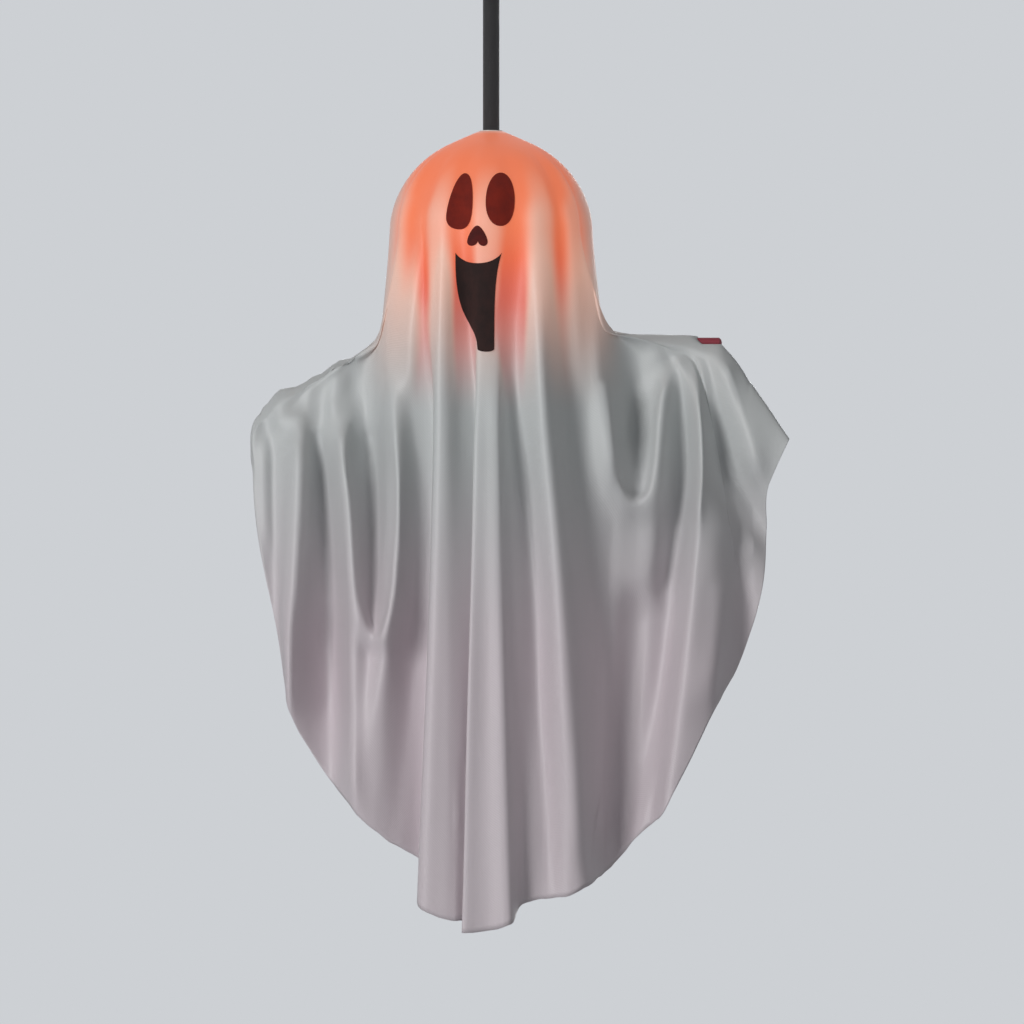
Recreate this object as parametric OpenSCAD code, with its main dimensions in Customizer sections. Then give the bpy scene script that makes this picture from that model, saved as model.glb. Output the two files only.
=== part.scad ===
// Hanging light-up ghost: a white satin drape over a translucent ball lamp with wire arms.
// The frame's origin is the centre of the hanging eye. +Z is up, and the face looks along -Y.

/* [Hanging cord] */
// Diameter of the black cord
cord_d = 10; // [8:0.5:10.5]
// Cord that shows between its end fitting and the collar on the head
cord_show = 80; // [60:1:140]
// Bore of the hanging eye
eye_bore_d = 10; // [7:0.5:12]
// Wall round the hanging eye's bore
eye_wall = 4; // [3:0.5:6]
// Thickness of the hanging eye
eye_t = 6; // [4:0.5:8]
// Length of the socket that holds the cord's top end
bell_len = 18; // [14:1:26]
// Wall of that socket
bell_wall = 2; // [1.5:0.5:3]

/* [Head] */
// Outer diameter of the ball
head_d = 116; // [112:1:120]
// Wall of the ball's two shells
shell_wall = 1.6; // [1.2:0.1:2.4]
// Height of the lap where the shells meet
lap_h = 4; // [3:0.5:6]
// Outer diameter of the neck under the ball
neck_d = 21; // [20:0.5:24]
// Length of the neck under the ball
neck_len = 21; // [19:1:26]
// Wall of the neck
neck_wall = 1.9; // [1.5:0.1:2.4]

/* [Lamp] */
// Diameter of the lamp board
board_d = 36; // [30:1:44]
// Thickness of the lamp board
board_t = 1.6; // [1:0.2:2]
// Number of lamps round the board
lamp_count = 5; // [3:1:6]
// Diameter of one lamp
lamp_d = 5; // [3:1:5]
// Diameter of the lamp post
post_d = 12; // [11:0.5:12.5]

/* [Battery case] */
// Width of the case
case_w = 40; // [39:1:46]
// Depth of the case without its door
case_depth = 17; // [16:0.5:22]
// Wall of the case
case_wall = 1.6; // [1.2:0.1:2]
// Thickness of the battery door
door_t = 1.8; // [1.4:0.1:2.4]
// Diameter of one cell
cell_d = 10.5; // [10:0.1:10.5]
// Length of one cell
cell_len = 44.5; // [43:0.5:46]
// Height of the wire bay over the cells
wire_bay_h = 9; // [8:0.5:12]
// Height of the switch bay under the cells
switch_bay_h = 11; // [9:0.5:14]
// Travel of the switch
switch_travel = 3; // [2:0.5:4]

/* [Arms] */
// Diameter of the arm wire
wire_d = 3; // [2:0.2:3]
// Diameter of the caps on the wire ends
cap_d = 6; // [5:0.2:6]
// Length of the caps
cap_len = 15; // [10:1:16]
// Length of the sockets that hold the wires
socket_len = 20; // [14:1:26]

/* [Drape] */
// Thickness of the drape
cloth_t = 1; // [0.8:0.1:1.2]
// Thickness of the face patches
patch_t = 0.5; // [0.3:0.1:0.8]

/* [Hidden] */
$fn = 64;

// Clearances: a running fit, and a glued or plugged fit
run_gap = 0.05;
fit_gap = 0.1;
eps = 0.01;

// Heights, from the hanging eye down
cord_r = cord_d / 2;
eye_r = eye_bore_d / 2 + eye_wall;
bell_bottom = -eye_r - bell_len;
bell_roof = 4;
collar_top = bell_bottom - cord_show;
bead_wall = 1.45;
bead_r = cord_r + bead_wall;
bead_z = collar_top - 4.2;
collar_rise = 4.5;
head_r = head_d / 2;
head_z = collar_top - collar_rise - head_r;
ferrule_wall = 1;
ferrule_len = 8;
bead_half = sqrt(bead_r * bead_r - pow(cord_r + run_gap, 2));
ferrule_top = bead_z - bead_half - fit_gap;
ferrule_r = cord_r + ferrule_wall;

// The collar that the cord passes through, and the socket of its bead
sway_max = 9;
socket_r = bead_r + run_gap;
mouth_r = socket_r - 0.9;
collar_r = socket_r + 1.7;
cap_body_r = collar_r + 1.8;
cap_flange_r = cap_body_r + 5;
cap_flange_t = 2.5;
cavity_r = ferrule_r + (ferrule_len + bead_half + 1) * tan(sway_max) + 1;
cap_skirt_len = ferrule_len + bead_half + 4;

// Under the ball, from the head's centre down
neck_r = neck_d / 2;
neck_bore_r = neck_r - neck_wall;
neck_bottom = head_z - head_r - neck_len + 1;
spigot_r = neck_bore_r - fit_gap;
spigot_len = neck_len - 3;
post_r = post_d / 2;
case_top = neck_bottom - 1;
spring_len = 6;
plate_t = 0.5;
nub_len = 0.8;
bay_h = cell_len + nub_len + spring_len + 2 * plate_t;
bay_top = case_top - wire_bay_h - 2 * case_wall;
bay_floor = bay_top - bay_h;
switch_top = bay_floor - case_wall;
case_bottom = switch_top - switch_bay_h - case_wall;
case_front = -case_depth / 2;
case_back = case_depth / 2;
case_corner = 3;
cell_pitch = cell_d + 0.6;
cell_y = case_front + case_wall + cell_d / 2 + 0.4;
cell_bottom = bay_floor + plate_t + spring_len;
grip_pitch = 4;
grip_w = 1.4;
grip_h = 0.6;
boss_r = 3;
screw_r = 1.4;
screw_len = 7;
screw_head_r = 2.6;
screw_head_t = 1.6;
screw_slot_w = 0.8;
boss_x = case_w / 2 - case_wall - boss_r - 0.6;
BOSSES = [[boss_x, 0, case_top - case_wall - wire_bay_h / 2],
  [-boss_x, 0, case_bottom + case_wall + switch_bay_h / 2]];
board_top = head_z - 3;
post_flange_t = 2;
post_bottom = neck_bottom - 4;
lead_d = 1.2;
lead_x = 2.4;
lead_bottom = bay_top + case_wall + plate_t;
slider_w = 4;
slider_d = 2.6;
slider_show = 2.2;
slider_x = switch_travel / 2;
switch_w = 12;
switch_d = 6;
switch_h = 5;

// The drape, its face and the arms are drawn for a ball of this size, and grow with the ball
drawn_head_d = 116;
drape_scale = head_d / drawn_head_d;

// Arms: the wires' middle lines, from the head's centre
collar_drop = 1.6;
collar_ring_h = 12;
arm_z = -head_r - collar_drop - collar_ring_h / 2;
wire_r = wire_d / 2;
cap_r = cap_d / 2;
socket_r_out = wire_r + 2.2;
collar_ring_r = neck_r + fit_gap + 3.6;
socket_tip = collar_ring_r + socket_len - 2;
wire_root = collar_ring_r - 1.5;
cap_over = 3;
hand_reach = 136.5;
elbow_reach = 33.7;
forearm_len = 75.5;
hand_len = 17;
// Each arm is a list of straight lengths, each with the angle of the bend down after it
RIGHT_ARM = [[hand_reach * drape_scale - wire_root, 0]];
LEFT_ARM = [[elbow_reach * drape_scale - wire_root, 18.5], [forearm_len * drape_scale, 18.5],
  [hand_len * drape_scale, 0]];
bend_r = 8;
bend_cuts = 5;

// Drape: each fold line runs from the collar over the ball to the hem. It has its direction on
// the ball, then a point at the arms, one above and one below the swags, and its hem, in
// millimetres from the head's centre. They go from the right arm round the front to the left arm.
FRONT_FOLDS = [
  [0, [128, 0, -61.5], [143, -3, -70], [162, -13, -94], [181, -23, -121]], // ridge of the right arm
  [-5, [124, -8, -69], [142, -13, -82], [155, -22, -125], [166, -22, -155]], // ridge under the tip
  [-8, [118, -8, -71], [133, -10, -86], [142, -12, -135], [166, -10, -181]], // valley
  [-11, [116, -8, -71], [129, -10, -92], [141, -16, -175], [163, -20, -215]], // ridge
  [-14, [114, -8, -71], [127, -9, -97], [140, -16, -190], [150, -15, -255]], // valley
  [-17, [112, -8, -71], [125, -13, -102], [131, -32, -190], [128, -34, -292]], // ridge
  [-20, [109, -8, -71], [121, -24, -125], [113, -38, -215], [100, -46, -345]], // ridge
  [-23, [105, -8, -71], [114, -10, -125], [104, -18, -205], [91, -30, -356]], // valley
  [-26, [99, -9, -70], [98, -18, -115], [95, -28, -180], [85, -33, -365]], // ridge of the swag
  [-29, [84, -8, -70], [85, -12, -115], [87, -29, -176], [80, -36, -372]], // right pocket
  [-34, [68, -27, -65], [73, -36, -125], [78, -32, -172], [75, -40, -378]], // right side ridge
  [-46, [44, -46, -65], [50, -42, -140], [64, -38, -235], [66, -48, -385]], // deep valley
  [-56, [33, -60, -65], [38, -66, -140], [50, -68, -245], [52, -64, -391]], // ridge
  [-64, [28, -61, -65], [33, -66, -140], [41, -70, -245], [36, -72, -396]], // ridge
  [-76, [10, -53, -65], [10, -55, -140], [12, -60, -245], [16, -66, -402]], // valley
  [-87, [3, -62, -68], [5, -72, -140], [6, -76, -245], [12, -81, -412]], // tail, right edge
  [-97, [-8, -63, -68], [-10, -72, -140], [-13, -76, -245], [-17, -81, -417]], // tail, left edge
  [-107, [-17, -54, -68], [-15, -55, -140], [-15, -60, -245], [-18, -66, -411]], // valley
  [-117, [-28, -60, -68], [-29, -66, -140], [-27, -70, -245], [-23, -74, -410]], // ridge
  [-124, [-35, -58, -68], [-37, -61, -140], [-38, -63, -245], [-43, -66, -402]], // ridge's edge
  [-132, [-42, -47, -68], [-43, -45, -140], [-43, -44, -245], [-45, -50, -378]], // valley
  [-140, [-50, -43, -68], [-52, -40, -140], [-53, -38, -245], [-58, -44, -368]], // valley
  [-150, [-63, -31, -68], [-62, -45, -140], [-63, -47, -232], [-70, -45, -358]], // left side ridge
  [-156, [-75, -9, -80], [-76, -10, -140], [-73, -42, -245], [-79, -45, -350]], // left pocket
  [-160, [-90, -9, -88], [-91, -27, -140], [-85, -40, -232], [-87, -43, -344]], // ridge of the swag
  [-164, [-104, -9, -94], [-107, -12, -145], [-105, -18, -245], [-102, -28, -327]], // valley
  [-168, [-117, -9, -99], [-121, -25, -145], [-122, -30, -230], [-121, -28, -288]], // ridge
  [-172, [-127, -9, -107], [-132, -11, -145], [-129, -15, -215], [-124, -15, -272]], // valley
  [-176, [-136, -9, -109], [-142, -12, -147], [-138, -15, -195], [-128, -11, -245]], // ridge
  [-180, [-130, 0, -96], [-140, 0, -104], [-145, 0, -113], [-147, 0, -126]], // ridge of the left arm
];

// The back's folds follow a rule: even ones are ridges. The back hem is an arch, a little above
// the front one.
back_step = 12;
function back_hem(x) = -130 - 245 * sqrt(max(0, 1 - pow(x / 155, 2)));
function back_sign(k) = k % 2 == 0 ? 1 : -1;
function back_column(k) = let (a = 180 - back_step * k, s = back_sign(k), c = cos(a), d = sin(a))
  [a, [60 * c, (58 + 4 * s) * d, -66], [72 * c, (58 + 10 * s) * d, -145],
   [84 * c, (60 + 14 * s) * d, -245], [92 * c, (60 + 18 * s) * d, back_hem(92 * c)]];
function back_arm(k, x, z) = let (a = 180 - back_step * k, s = back_sign(k), w = 1.04 * x)
  [a, [x, 9, z], [w, 20 + 8 * s, -145], [w, 25 + 10 * s, -215], [w, 23 + 10 * s, back_hem(w)]];
BACK_FOLDS = concat(
  [[176, [-137, 9, -109], [-142, 12, -145], [-138, 13, -185], [-130, 8, -232]]],
  [back_arm(1, -119, -104), back_arm(2, -106, -95), back_arm(3, -86, -86)],
  [for (k = [4 : 11]) back_column(k)],
  [back_arm(12, 84, -71), back_arm(13, 104, -71), back_arm(14, 122, -71)],
  [[4, [136, 8, -71], [148, 11, -108], [153, 13, -140], [158, 11, -170]]]);
FOLDS = [for (f = concat(FRONT_FOLDS, BACK_FOLDS))
  concat([f[0]], [for (i = [1 : 4]) f[i] * drape_scale])];

// Shoulders: where the arms' fold lines leave the ball's side
shoulder_x = 67 * drape_scale;
shoulder_z = [-60, -66] * drape_scale;
// Room in front of and behind the arm wires there
wire_room = 6;
arm_fold_x = 70 * drape_scale;
// Distance from the ball to the drape at a valley, and the extra at a ridge
ball_gap = 1.5;
cloth_r = head_r + ball_gap + cloth_t;
cloth_hole_r = collar_r + 0.6;
hole_angle = asin(cloth_hole_r / cloth_r);
BALL_ROWS = [0, 0.25, 0.5, 0.75, 1];
FALL_ROWS = [0.5, 1, 1.5, 2, 2.7, 3.4, 4.2, 5];

function fold_equator(f) = [cloth_r * cos(f[0]), cloth_r * sin(f[0]), 0];
function is_arm_fold(f) = abs(f[1][0]) > arm_fold_x;
function fold_shoulder(f) = let (e = fold_equator(f), right = e[0] > 0)
  is_arm_fold(f) ? [right ? shoulder_x : -shoulder_x, shoulder_y(e[1]), shoulder_z[right ? 0 : 1]]
                 : (e + f[1]) / 2;
function shoulder_y(y) = abs(y) < 1 ? 0 : sign(y) * wire_room + 0.7 * y;
// A smooth curve through the points p, at u counted in points after the second
function spline(p, u) = let (i = min(floor(u), len(p) - 4), t = u - i,
    a = p[i], b = p[i + 1], c = p[i + 2], d = p[i + 3])
  b + (c - a) / 2 * t + (a - 2.5 * b + 2 * c - d / 2) * t * t + ((d - a) / 2 + 1.5 * (b - c)) * pow(t, 3);
// The fall of a fold line below the ball. An arm's folds turn sharply at the shoulder.
function fall_point(f, u) = let (e = fold_equator(f), s = fold_shoulder(f), end = 2 * f[4] - f[3],
    above = [e + [0, 0, 40], e, s, 2 * s - e], below = [2 * s - f[1], s, f[1], f[2], f[3], f[4], end])
  !is_arm_fold(f) ? spline([e + [0, 0, 40], e, s, f[1], f[2], f[3], f[4], end], u)
                  : u < 1 ? spline(above, u) : spline(below, u - 1);
function ball_point(f, t) = let (q = hole_angle + (90 - hole_angle) * t)
  cloth_r * [sin(q) * cos(f[0]), sin(q) * sin(f[0]), cos(q)];
function fold_points(f) =
  concat([for (t = BALL_ROWS) ball_point(f, t)], [for (u = FALL_ROWS) fall_point(f, u)]);

// The drape's outer skin: one list of points for each fold line, and its normals
SKIN = [for (f = FOLDS) fold_points(f)];
n_folds = len(SKIN);
n_rows = len(SKIN[0]);
function unit(v) = v / norm(v);
function skin(c, r) = SKIN[(c + n_folds) % n_folds][min(max(r, 0), n_rows - 1)];
function skin_normal(c, r) = unit(cross(skin(c, r + 1) - skin(c, r - 1), skin(c - 1, r) - skin(c + 1, r)));
function skin_at(c, r, off) = skin(c, r) + off * skin_normal(c, r);

// A solid between two offsets of the skin, over a range of fold lines and rows
module skin_solid(c0, c1, r0, r1, low, high) {
  cols = c1 - c0 + 1;
  rows = r1 - r0 + 1;
  closed = cols == n_folds;
  points = concat([for (c = [c0 : c1]) for (r = [r0 : r1]) skin_at(c, r, high)],
                  [for (c = [c0 : c1]) for (r = [r0 : r1]) skin_at(c, r, low)]);
  function id(c, r, side) = side * cols * rows + (c % cols) * rows + r;
  last = closed ? cols - 1 : cols - 2;
  walls = [for (c = [0 : last]) for (r = [0 : rows - 2]) for (s = [0, 1])
    let (a = id(c, r, s), b = id(c + 1, r, s), d = id(c, r + 1, s), e = id(c + 1, r + 1, s))
    each s == 0 ? [[a, e, b], [a, d, e]] : [[a, b, e], [a, e, d]]];
  rims = [for (c = [0 : last]) for (r = [0, rows - 1])
    let (a = id(c, r, 0), b = id(c + 1, r, 0), d = id(c, r, 1), e = id(c + 1, r, 1))
    each r == 0 ? [[a, e, d], [a, b, e]] : [[a, d, e], [a, e, b]]];
  sides = closed ? [] : [for (c = [0, cols - 1]) for (r = [0 : rows - 2])
    let (a = id(c, r, 0), b = id(c, r + 1, 0), d = id(c, r, 1), e = id(c, r + 1, 1))
    each c == 0 ? [[a, e, b], [a, d, e]] : [[a, b, e], [a, e, d]]];
  polyhedron(points, concat(walls, rims, sides), convexity = 10);
}

// Wire and rod shapes that more than one piece uses

// Places and downward headings along a wire that starts at the origin along +X
function stations(steps, i = 0, x = 0, z = 0, a = 0) = i == len(steps) ? [] :
  let (n = steps[i][0], b = steps[i][1], x1 = x + n * cos(a), z1 = z - n * sin(a))
  concat([[x, z, a], [x1, z1, a]],
    [for (k = [1 : bend_cuts - 1]) if (b > 0) bend_place(x1, z1, a, b * k / bend_cuts)],
    let (e = bend_place(x1, z1, a, b)) stations(steps, i + 1, e[0], e[1], e[2]));
function bend_place(x, z, a, b) =
  [x + bend_r * (sin(a + b) - sin(a)), z + bend_r * (cos(a + b) - cos(a)), a + b];

// A round wire swept along its stations
module wire_run(steps, r) {
  rings = stations(steps);
  sides = 24;
  last = len(rings) - 1;
  function corner(i, k) = i * sides + k % sides;
  points = [for (s = rings) for (k = [0 : sides - 1]) let (q = 360 / sides * k)
    [s[0] + r * sin(q) * sin(s[2]), r * cos(q), s[1] + r * sin(q) * cos(s[2])]];
  skin = [for (i = [0 : last - 1]) for (k = [0 : sides - 1])
    each [[corner(i, k), corner(i + 1, k + 1), corner(i, k + 1)],
          [corner(i, k), corner(i + 1, k), corner(i + 1, k + 1)]]];
  ends = [[for (k = [0 : sides - 1]) k], [for (k = [sides - 1 : -1 : 0]) corner(last, k)]];
  polyhedron(points, concat(skin, ends));
}

// Puts a piece at the far end of a wire
module at_wire_end(steps) {
  e = stations(steps)[len(stations(steps)) - 1];
  translate([e[0], 0, e[1]]) rotate([0, e[2], 0]) children();
}

// A round rod with a domed far end
module domed_rod(r, h) intersection() {
  cylinder(r = r, h = h);
  translate([0, 0, h - 1.15 * r]) union() {
    sphere(r = 1.15 * r);
    translate([0, 0, -h - r]) cylinder(r = 2 * r, h = h + r);
  }
}

// Suspension

module hang_eye() color("#141416") {
  difference() {
    union() {
      rotate([90, 0, 0]) cylinder(r = eye_r, h = eye_t, center = true);
      translate([0, 0, bell_bottom]) cylinder(r = cord_r + bell_wall, h = bell_len + 1);
      translate([-eye_t / 2, -eye_t / 2, bell_bottom + bell_len]) cube([eye_t, eye_t, eye_wall]);
    }
    rotate([90, 0, 0]) cylinder(d = eye_bore_d, h = 3 * eye_r, center = true);
    translate([0, 0, bell_bottom - eps]) cylinder(r = cord_r + run_gap, h = bell_len - bell_roof);
  }
}

module hang_cord() color("#1b1b1d")
  translate([0, 0, ferrule_top - ferrule_len])
    cylinder(r = cord_r, h = bell_bottom + bell_len - bell_roof - 1 - ferrule_top + ferrule_len);

module cord_ferrule() color("silver")
  translate([0, 0, ferrule_top - ferrule_len]) difference() {
    cylinder(r = ferrule_r, h = ferrule_len);
    translate([0, 0, -eps]) cylinder(r = cord_r + run_gap / 2, h = ferrule_len + 2 * eps);
  }

module stop_bead() color("#e8e2d4")
  translate([0, 0, bead_z]) difference() {
    sphere(r = bead_r);
    cylinder(r = cord_r + run_gap, h = 4 * bead_r, center = true);
  }

// Head

module hanger_cap() color("#ece8e0") difference() {
  union() {
    translate([0, 0, head_z + head_r - 0.4])
      cylinder(r1 = collar_r, r2 = mouth_r + 1.3, h = collar_rise + 0.4);
    translate([0, 0, bead_z - cap_skirt_len])
      cylinder(r = cap_body_r, h = head_z + head_r - 0.3 - bead_z + cap_skirt_len);
    translate([0, 0, head_z]) intersection() {
      sphere(r = head_r - shell_wall - fit_gap, $fn = 96);
      translate([0, 0, head_r - shell_wall - cap_flange_t - 2.2])
        cylinder(r = cap_flange_r, h = cap_flange_t + 3);
    }
  }
  translate([0, 0, bead_z]) sphere(r = socket_r);
  translate([0, 0, bead_z - cap_skirt_len - eps])
    cylinder(r = socket_r + 0.3, h = cap_skirt_len - 0.5);
  translate([0, 0, bead_z - cap_skirt_len - eps])
    cylinder(r = cavity_r, h = cap_skirt_len - bead_half + 2);
  translate([0, 0, bead_z + 2]) cylinder(r1 = mouth_r - 0.1, r2 = mouth_r + 0.5, h = 2.2 + eps);
}

module ball_shell() difference() {
  sphere(r = head_r, $fn = 96);
  sphere(r = head_r - shell_wall, $fn = 96);
}

lap_r = head_r - shell_wall / 2;

module head_shell_top() color("#f4efe6") translate([0, 0, head_z]) difference() {
  intersection() {
    ball_shell();
    cylinder(r = head_r + 1, h = head_r + 1);
  }
  translate([0, 0, -eps]) cylinder(r = lap_r, h = lap_h);
  cylinder(r = cap_body_r + fit_gap, h = head_r + 1);
}

module head_shell_bottom() color("#f4efe6") translate([0, 0, head_z]) difference() {
  union() {
    intersection() {
      ball_shell();
      translate([0, 0, -head_r - 1 - fit_gap]) cylinder(r = head_r + 1, h = head_r + 1);
    }
    difference() {
      translate([0, 0, -lap_h]) cylinder(r = lap_r - fit_gap, h = 2 * lap_h - 0.4);
      translate([0, 0, -lap_h - eps]) cylinder(r = lap_r - 1.4, h = 2 * lap_h);
    }
    translate([0, 0, neck_bottom - head_z])
      cylinder(r = neck_r, h = head_z - neck_bottom - head_r + shell_wall + 2);
  }
  translate([0, 0, neck_bottom - head_z - eps]) cylinder(r = neck_bore_r, h = neck_len + 8);
}

// Lamp

module lamp_post() color("#e4e4e2") difference() {
  union() {
    translate([0, 0, post_bottom]) cylinder(r = post_r, h = board_top - board_t - post_bottom);
    translate([0, 0, board_top - board_t - post_flange_t])
      cylinder(r = post_r + 3.5, h = post_flange_t);
  }
  translate([0, 0, post_bottom - eps]) cylinder(r = post_r - 1.3, h = board_top - post_bottom);
}

module lamp_board() color("#2e7a46")
  translate([0, 0, board_top - board_t]) cylinder(d = board_d, h = board_t);

lamp_ring_r = board_d / 2 - 6;
lamp_barrel = 5;

module lamps() color("#ffb27a")
  for (i = [0 : lamp_count - 1]) rotate(360 / lamp_count * i)
    translate([lamp_ring_r, 0, board_top]) {
      cylinder(d = lamp_d + 0.8, h = 1);
      domed_rod(lamp_d / 2, lamp_barrel + lamp_d / 2);
    }

module lamp_resistors() color("#c9a36a")
  for (i = [0 : lamp_count - 1]) rotate(360 / lamp_count * (i + 0.5))
    translate([lamp_ring_r - 3, 0, board_top + 1]) rotate([0, 90, 0])
      cylinder(d = 2, h = 6);

module lead_wires() color("#b02018") for (s = [-1, 1])
  translate([s * lead_x, 0, lead_bottom]) cylinder(d = lead_d, h = board_top - board_t - lead_bottom);

// Battery case

module case_block(w, d, z0, z1, r) translate([0, 0, z0]) linear_extrude(z1 - z0) {
  square([w - 2 * r, d], center = true);
  square([w, d - 2 * r], center = true);
  for (x = [-1, 1]) for (y = [-1, 1]) translate([x * (w / 2 - r), y * (d / 2 - r)]) circle(r, $fn = 32);
}

module battery_case() color("#f0f0ee") difference() {
  union() {
    difference() {
      case_block(case_w, case_depth, case_bottom, case_top, case_corner);
      case_room(bay_top + case_wall, case_top - case_wall);
      case_room(bay_floor, bay_top);
      case_room(case_bottom + case_wall, switch_top);
    }
    for (b = BOSSES) translate(b + [0, case_front + 0.5, 0]) rotate([-90, 0, 0])
      cylinder(r = boss_r, h = case_depth - 1);
    translate([0, 0, case_top - eps]) cylinder(r = spigot_r, h = spigot_len);
  }
  for (b = BOSSES) translate(b + [0, case_back - 8, 0]) rotate([-90, 0, 0])
    cylinder(r = screw_r + fit_gap, h = 20);
  translate([0, 0, case_top - case_wall - 1]) cylinder(r = post_r + fit_gap, h = spigot_len + 12);
  translate([-slider_x - slider_w / 2 - 0.3, -slider_d / 2 - 0.2, case_bottom - 1])
    cube([2 * slider_x + slider_w + 0.6, slider_d + 0.4, case_wall + 2]);
}

module case_room(z0, z1)
  translate([-case_w / 2 + case_wall, case_front + case_wall, z0])
    cube([case_w - 2 * case_wall, case_depth, z1 - z0]);

module battery_door() color("#e9e9e6") difference() {
  union() {
    translate([0, case_back + fit_gap + door_t / 2, 0])
      case_block(case_w, door_t, case_bottom, case_top, 0.5);
    for (z = [bay_floor + 2 * grip_pitch : grip_pitch : bay_top - 2.5 * grip_pitch])
      translate([-0.3 * case_w, case_back + fit_gap + door_t - eps, z])
        cube([0.6 * case_w, grip_h, grip_w]);
  }
  for (b = BOSSES) translate(b + [0, case_back, 0]) rotate([-90, 0, 0])
    cylinder(r = screw_r + 0.2, h = 10);
}

module door_screws() color("silver")
  for (b = BOSSES) translate(b + [0, case_back + fit_gap + door_t + run_gap, 0]) rotate([-90, 0, 0]) {
    difference() {
      cylinder(r = screw_head_r, h = screw_head_t);
      for (a = [0, 90]) rotate(a) translate([-0.65 * screw_head_r, -screw_slot_w / 2, screw_head_t / 2])
        cube([1.3 * screw_head_r, screw_slot_w, screw_head_t]);
    }
    translate([0, 0, -screw_len]) cylinder(r = screw_r, h = screw_len + screw_head_t / 4);
  }

module cells() color("#5a6a78")
  for (i = [-1 : 1]) translate([i * cell_pitch, cell_y, cell_bottom]) {
    cylinder(d = cell_d, h = cell_len);
    translate([0, 0, cell_len - eps]) cylinder(d = 3.8, h = nub_len);
  }

module contact_springs() color("silver")
  for (i = [-1 : 1]) translate([i * cell_pitch, cell_y, bay_floor + plate_t])
    cylinder(r1 = 3.4, r2 = 2, h = spring_len - 0.1);

plate_w = cell_d - 1.7;
plate_d = cell_d - 2.5;
terminal_w = 3;
terminal_d = 6;

// Plates at both ends of each cell, and two terminals in the wire bay for the leads
module contact_plates() color("#d0d0cc") {
  for (i = [-1 : 1]) for (z = [bay_floor, bay_top - plate_t])
    translate([i * cell_pitch - plate_w / 2, cell_y - plate_d / 2, z]) cube([plate_w, plate_d, plate_t]);
  for (s = [-1, 1]) translate([s * lead_x - terminal_w / 2, -terminal_d / 2, lead_bottom - plate_t])
    cube([terminal_w, terminal_d, plate_t]);
}

module switch_body() color("#303034") difference() {
  translate([-switch_w / 2, -switch_d / 2, case_bottom + case_wall])
    cube([switch_w, switch_d, switch_h]);
  translate([-slider_x - slider_w / 2 - 0.2, -slider_d / 2 - 0.2, case_bottom])
    cube([2 * slider_x + slider_w + 0.4, slider_d + 0.4, switch_h - 0.4]);
}

module switch_slider() color("#1d1d20") translate([slider_x, 0, case_bottom - slider_show]) {
  translate([-slider_w / 2, -slider_d / 2, 0]) cube([slider_w, slider_d, slider_show + case_wall + 2]);
  for (x = [-1.4, 0, 1.4]) translate([x - 0.3, -slider_d / 2, -0.4]) cube([0.6, slider_d, 0.5]);
}

// Arms

module shoulder_collar() color("#e6e6e4") translate([0, 0, head_z + arm_z]) difference() {
  union() {
    translate([0, 0, -collar_ring_h / 2]) cylinder(r = collar_ring_r, h = collar_ring_h);
    for (s = [-1, 1]) rotate([0, s * 90, 0]) cylinder(r = socket_r_out, h = socket_tip);
  }
  cylinder(r = neck_r + fit_gap, h = 2 * collar_ring_h, center = true);
  for (s = [-1, 1]) {
    rotate([0, s * 90, 0]) translate([0, 0, wire_root - fit_gap])
      cylinder(r = wire_r + run_gap, h = socket_tip);
    translate([s * (socket_tip - 6), 0, 0]) rotate([90, 0, 0]) cylinder(r = 1.3, h = 20);
  }
}

module collar_screws() color("silver")
  for (s = [-1, 1]) translate([s * (socket_tip - 6), -wire_r - run_gap, head_z + arm_z])
    rotate([90, 0, 0]) difference() {
      cylinder(r = 1.3 - run_gap, h = 2.6);
      translate([-2, -0.25, 2]) cube([4, 0.5, 2]);
    }

module rod(a, b, r) {
  d = b - a;
  translate(a) rotate([0, acos(d[2] / norm(d)), atan2(d[1], d[0])]) cylinder(r = r, h = norm(d));
}

module arm_wire_right() color("#dcdcdc") right_arm_frame() wire_run(RIGHT_ARM, wire_r);

module arm_wire_left() color("#dcdcdc") left_arm_frame() wire_run(LEFT_ARM, wire_r);

module right_arm_frame() translate([wire_root, 0, head_z + arm_z]) children();

module left_arm_frame() mirror([1, 0, 0]) right_arm_frame() children();

// A blind cap pushed over a wire's end, which lies at the origin and points along +X
module wire_cap() rotate([0, 90, 0]) difference() {
  translate([0, 0, cap_over - cap_len]) domed_rod(cap_r, cap_len);
  translate([0, 0, cap_over - cap_len - 1])
    cylinder(r = wire_r + run_gap, h = cap_len - cap_over + 1 + fit_gap);
}

module wire_cap_right() color("#8e1f2e") right_arm_frame() at_wire_end(RIGHT_ARM) wire_cap();

module wire_cap_left() color("#8e1f2e") left_arm_frame() at_wire_end(LEFT_ARM) wire_cap();

// Drape and face

module drape() color("#e9e7e6") translate([0, 0, head_z]) difference() {
  skin_solid(0, n_folds - 1, 0, n_rows - 1, -cloth_t, 0);
  hand_x = hand_reach * drape_scale;
  rod([hand_x - cap_len - 3.5, 0, arm_z], [hand_x + cap_over + 3.5, 0, arm_z], cap_r + 0.6);
}

// The part of a skin layer that lies behind an outline drawn on the front plane
face_cols = [10, 21];
face_rows = [1, 8];
patch_gap = 0.05;

module face_patch() color("#1a1416") translate([0, 0, head_z]) intersection() {
  skin_solid(face_cols[0], face_cols[1], face_rows[0], face_rows[1], patch_gap, patch_gap + patch_t);
  translate([0, -20, 0]) rotate([90, 0, 0]) linear_extrude(head_r + 32) scale(drape_scale) children();
}

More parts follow.
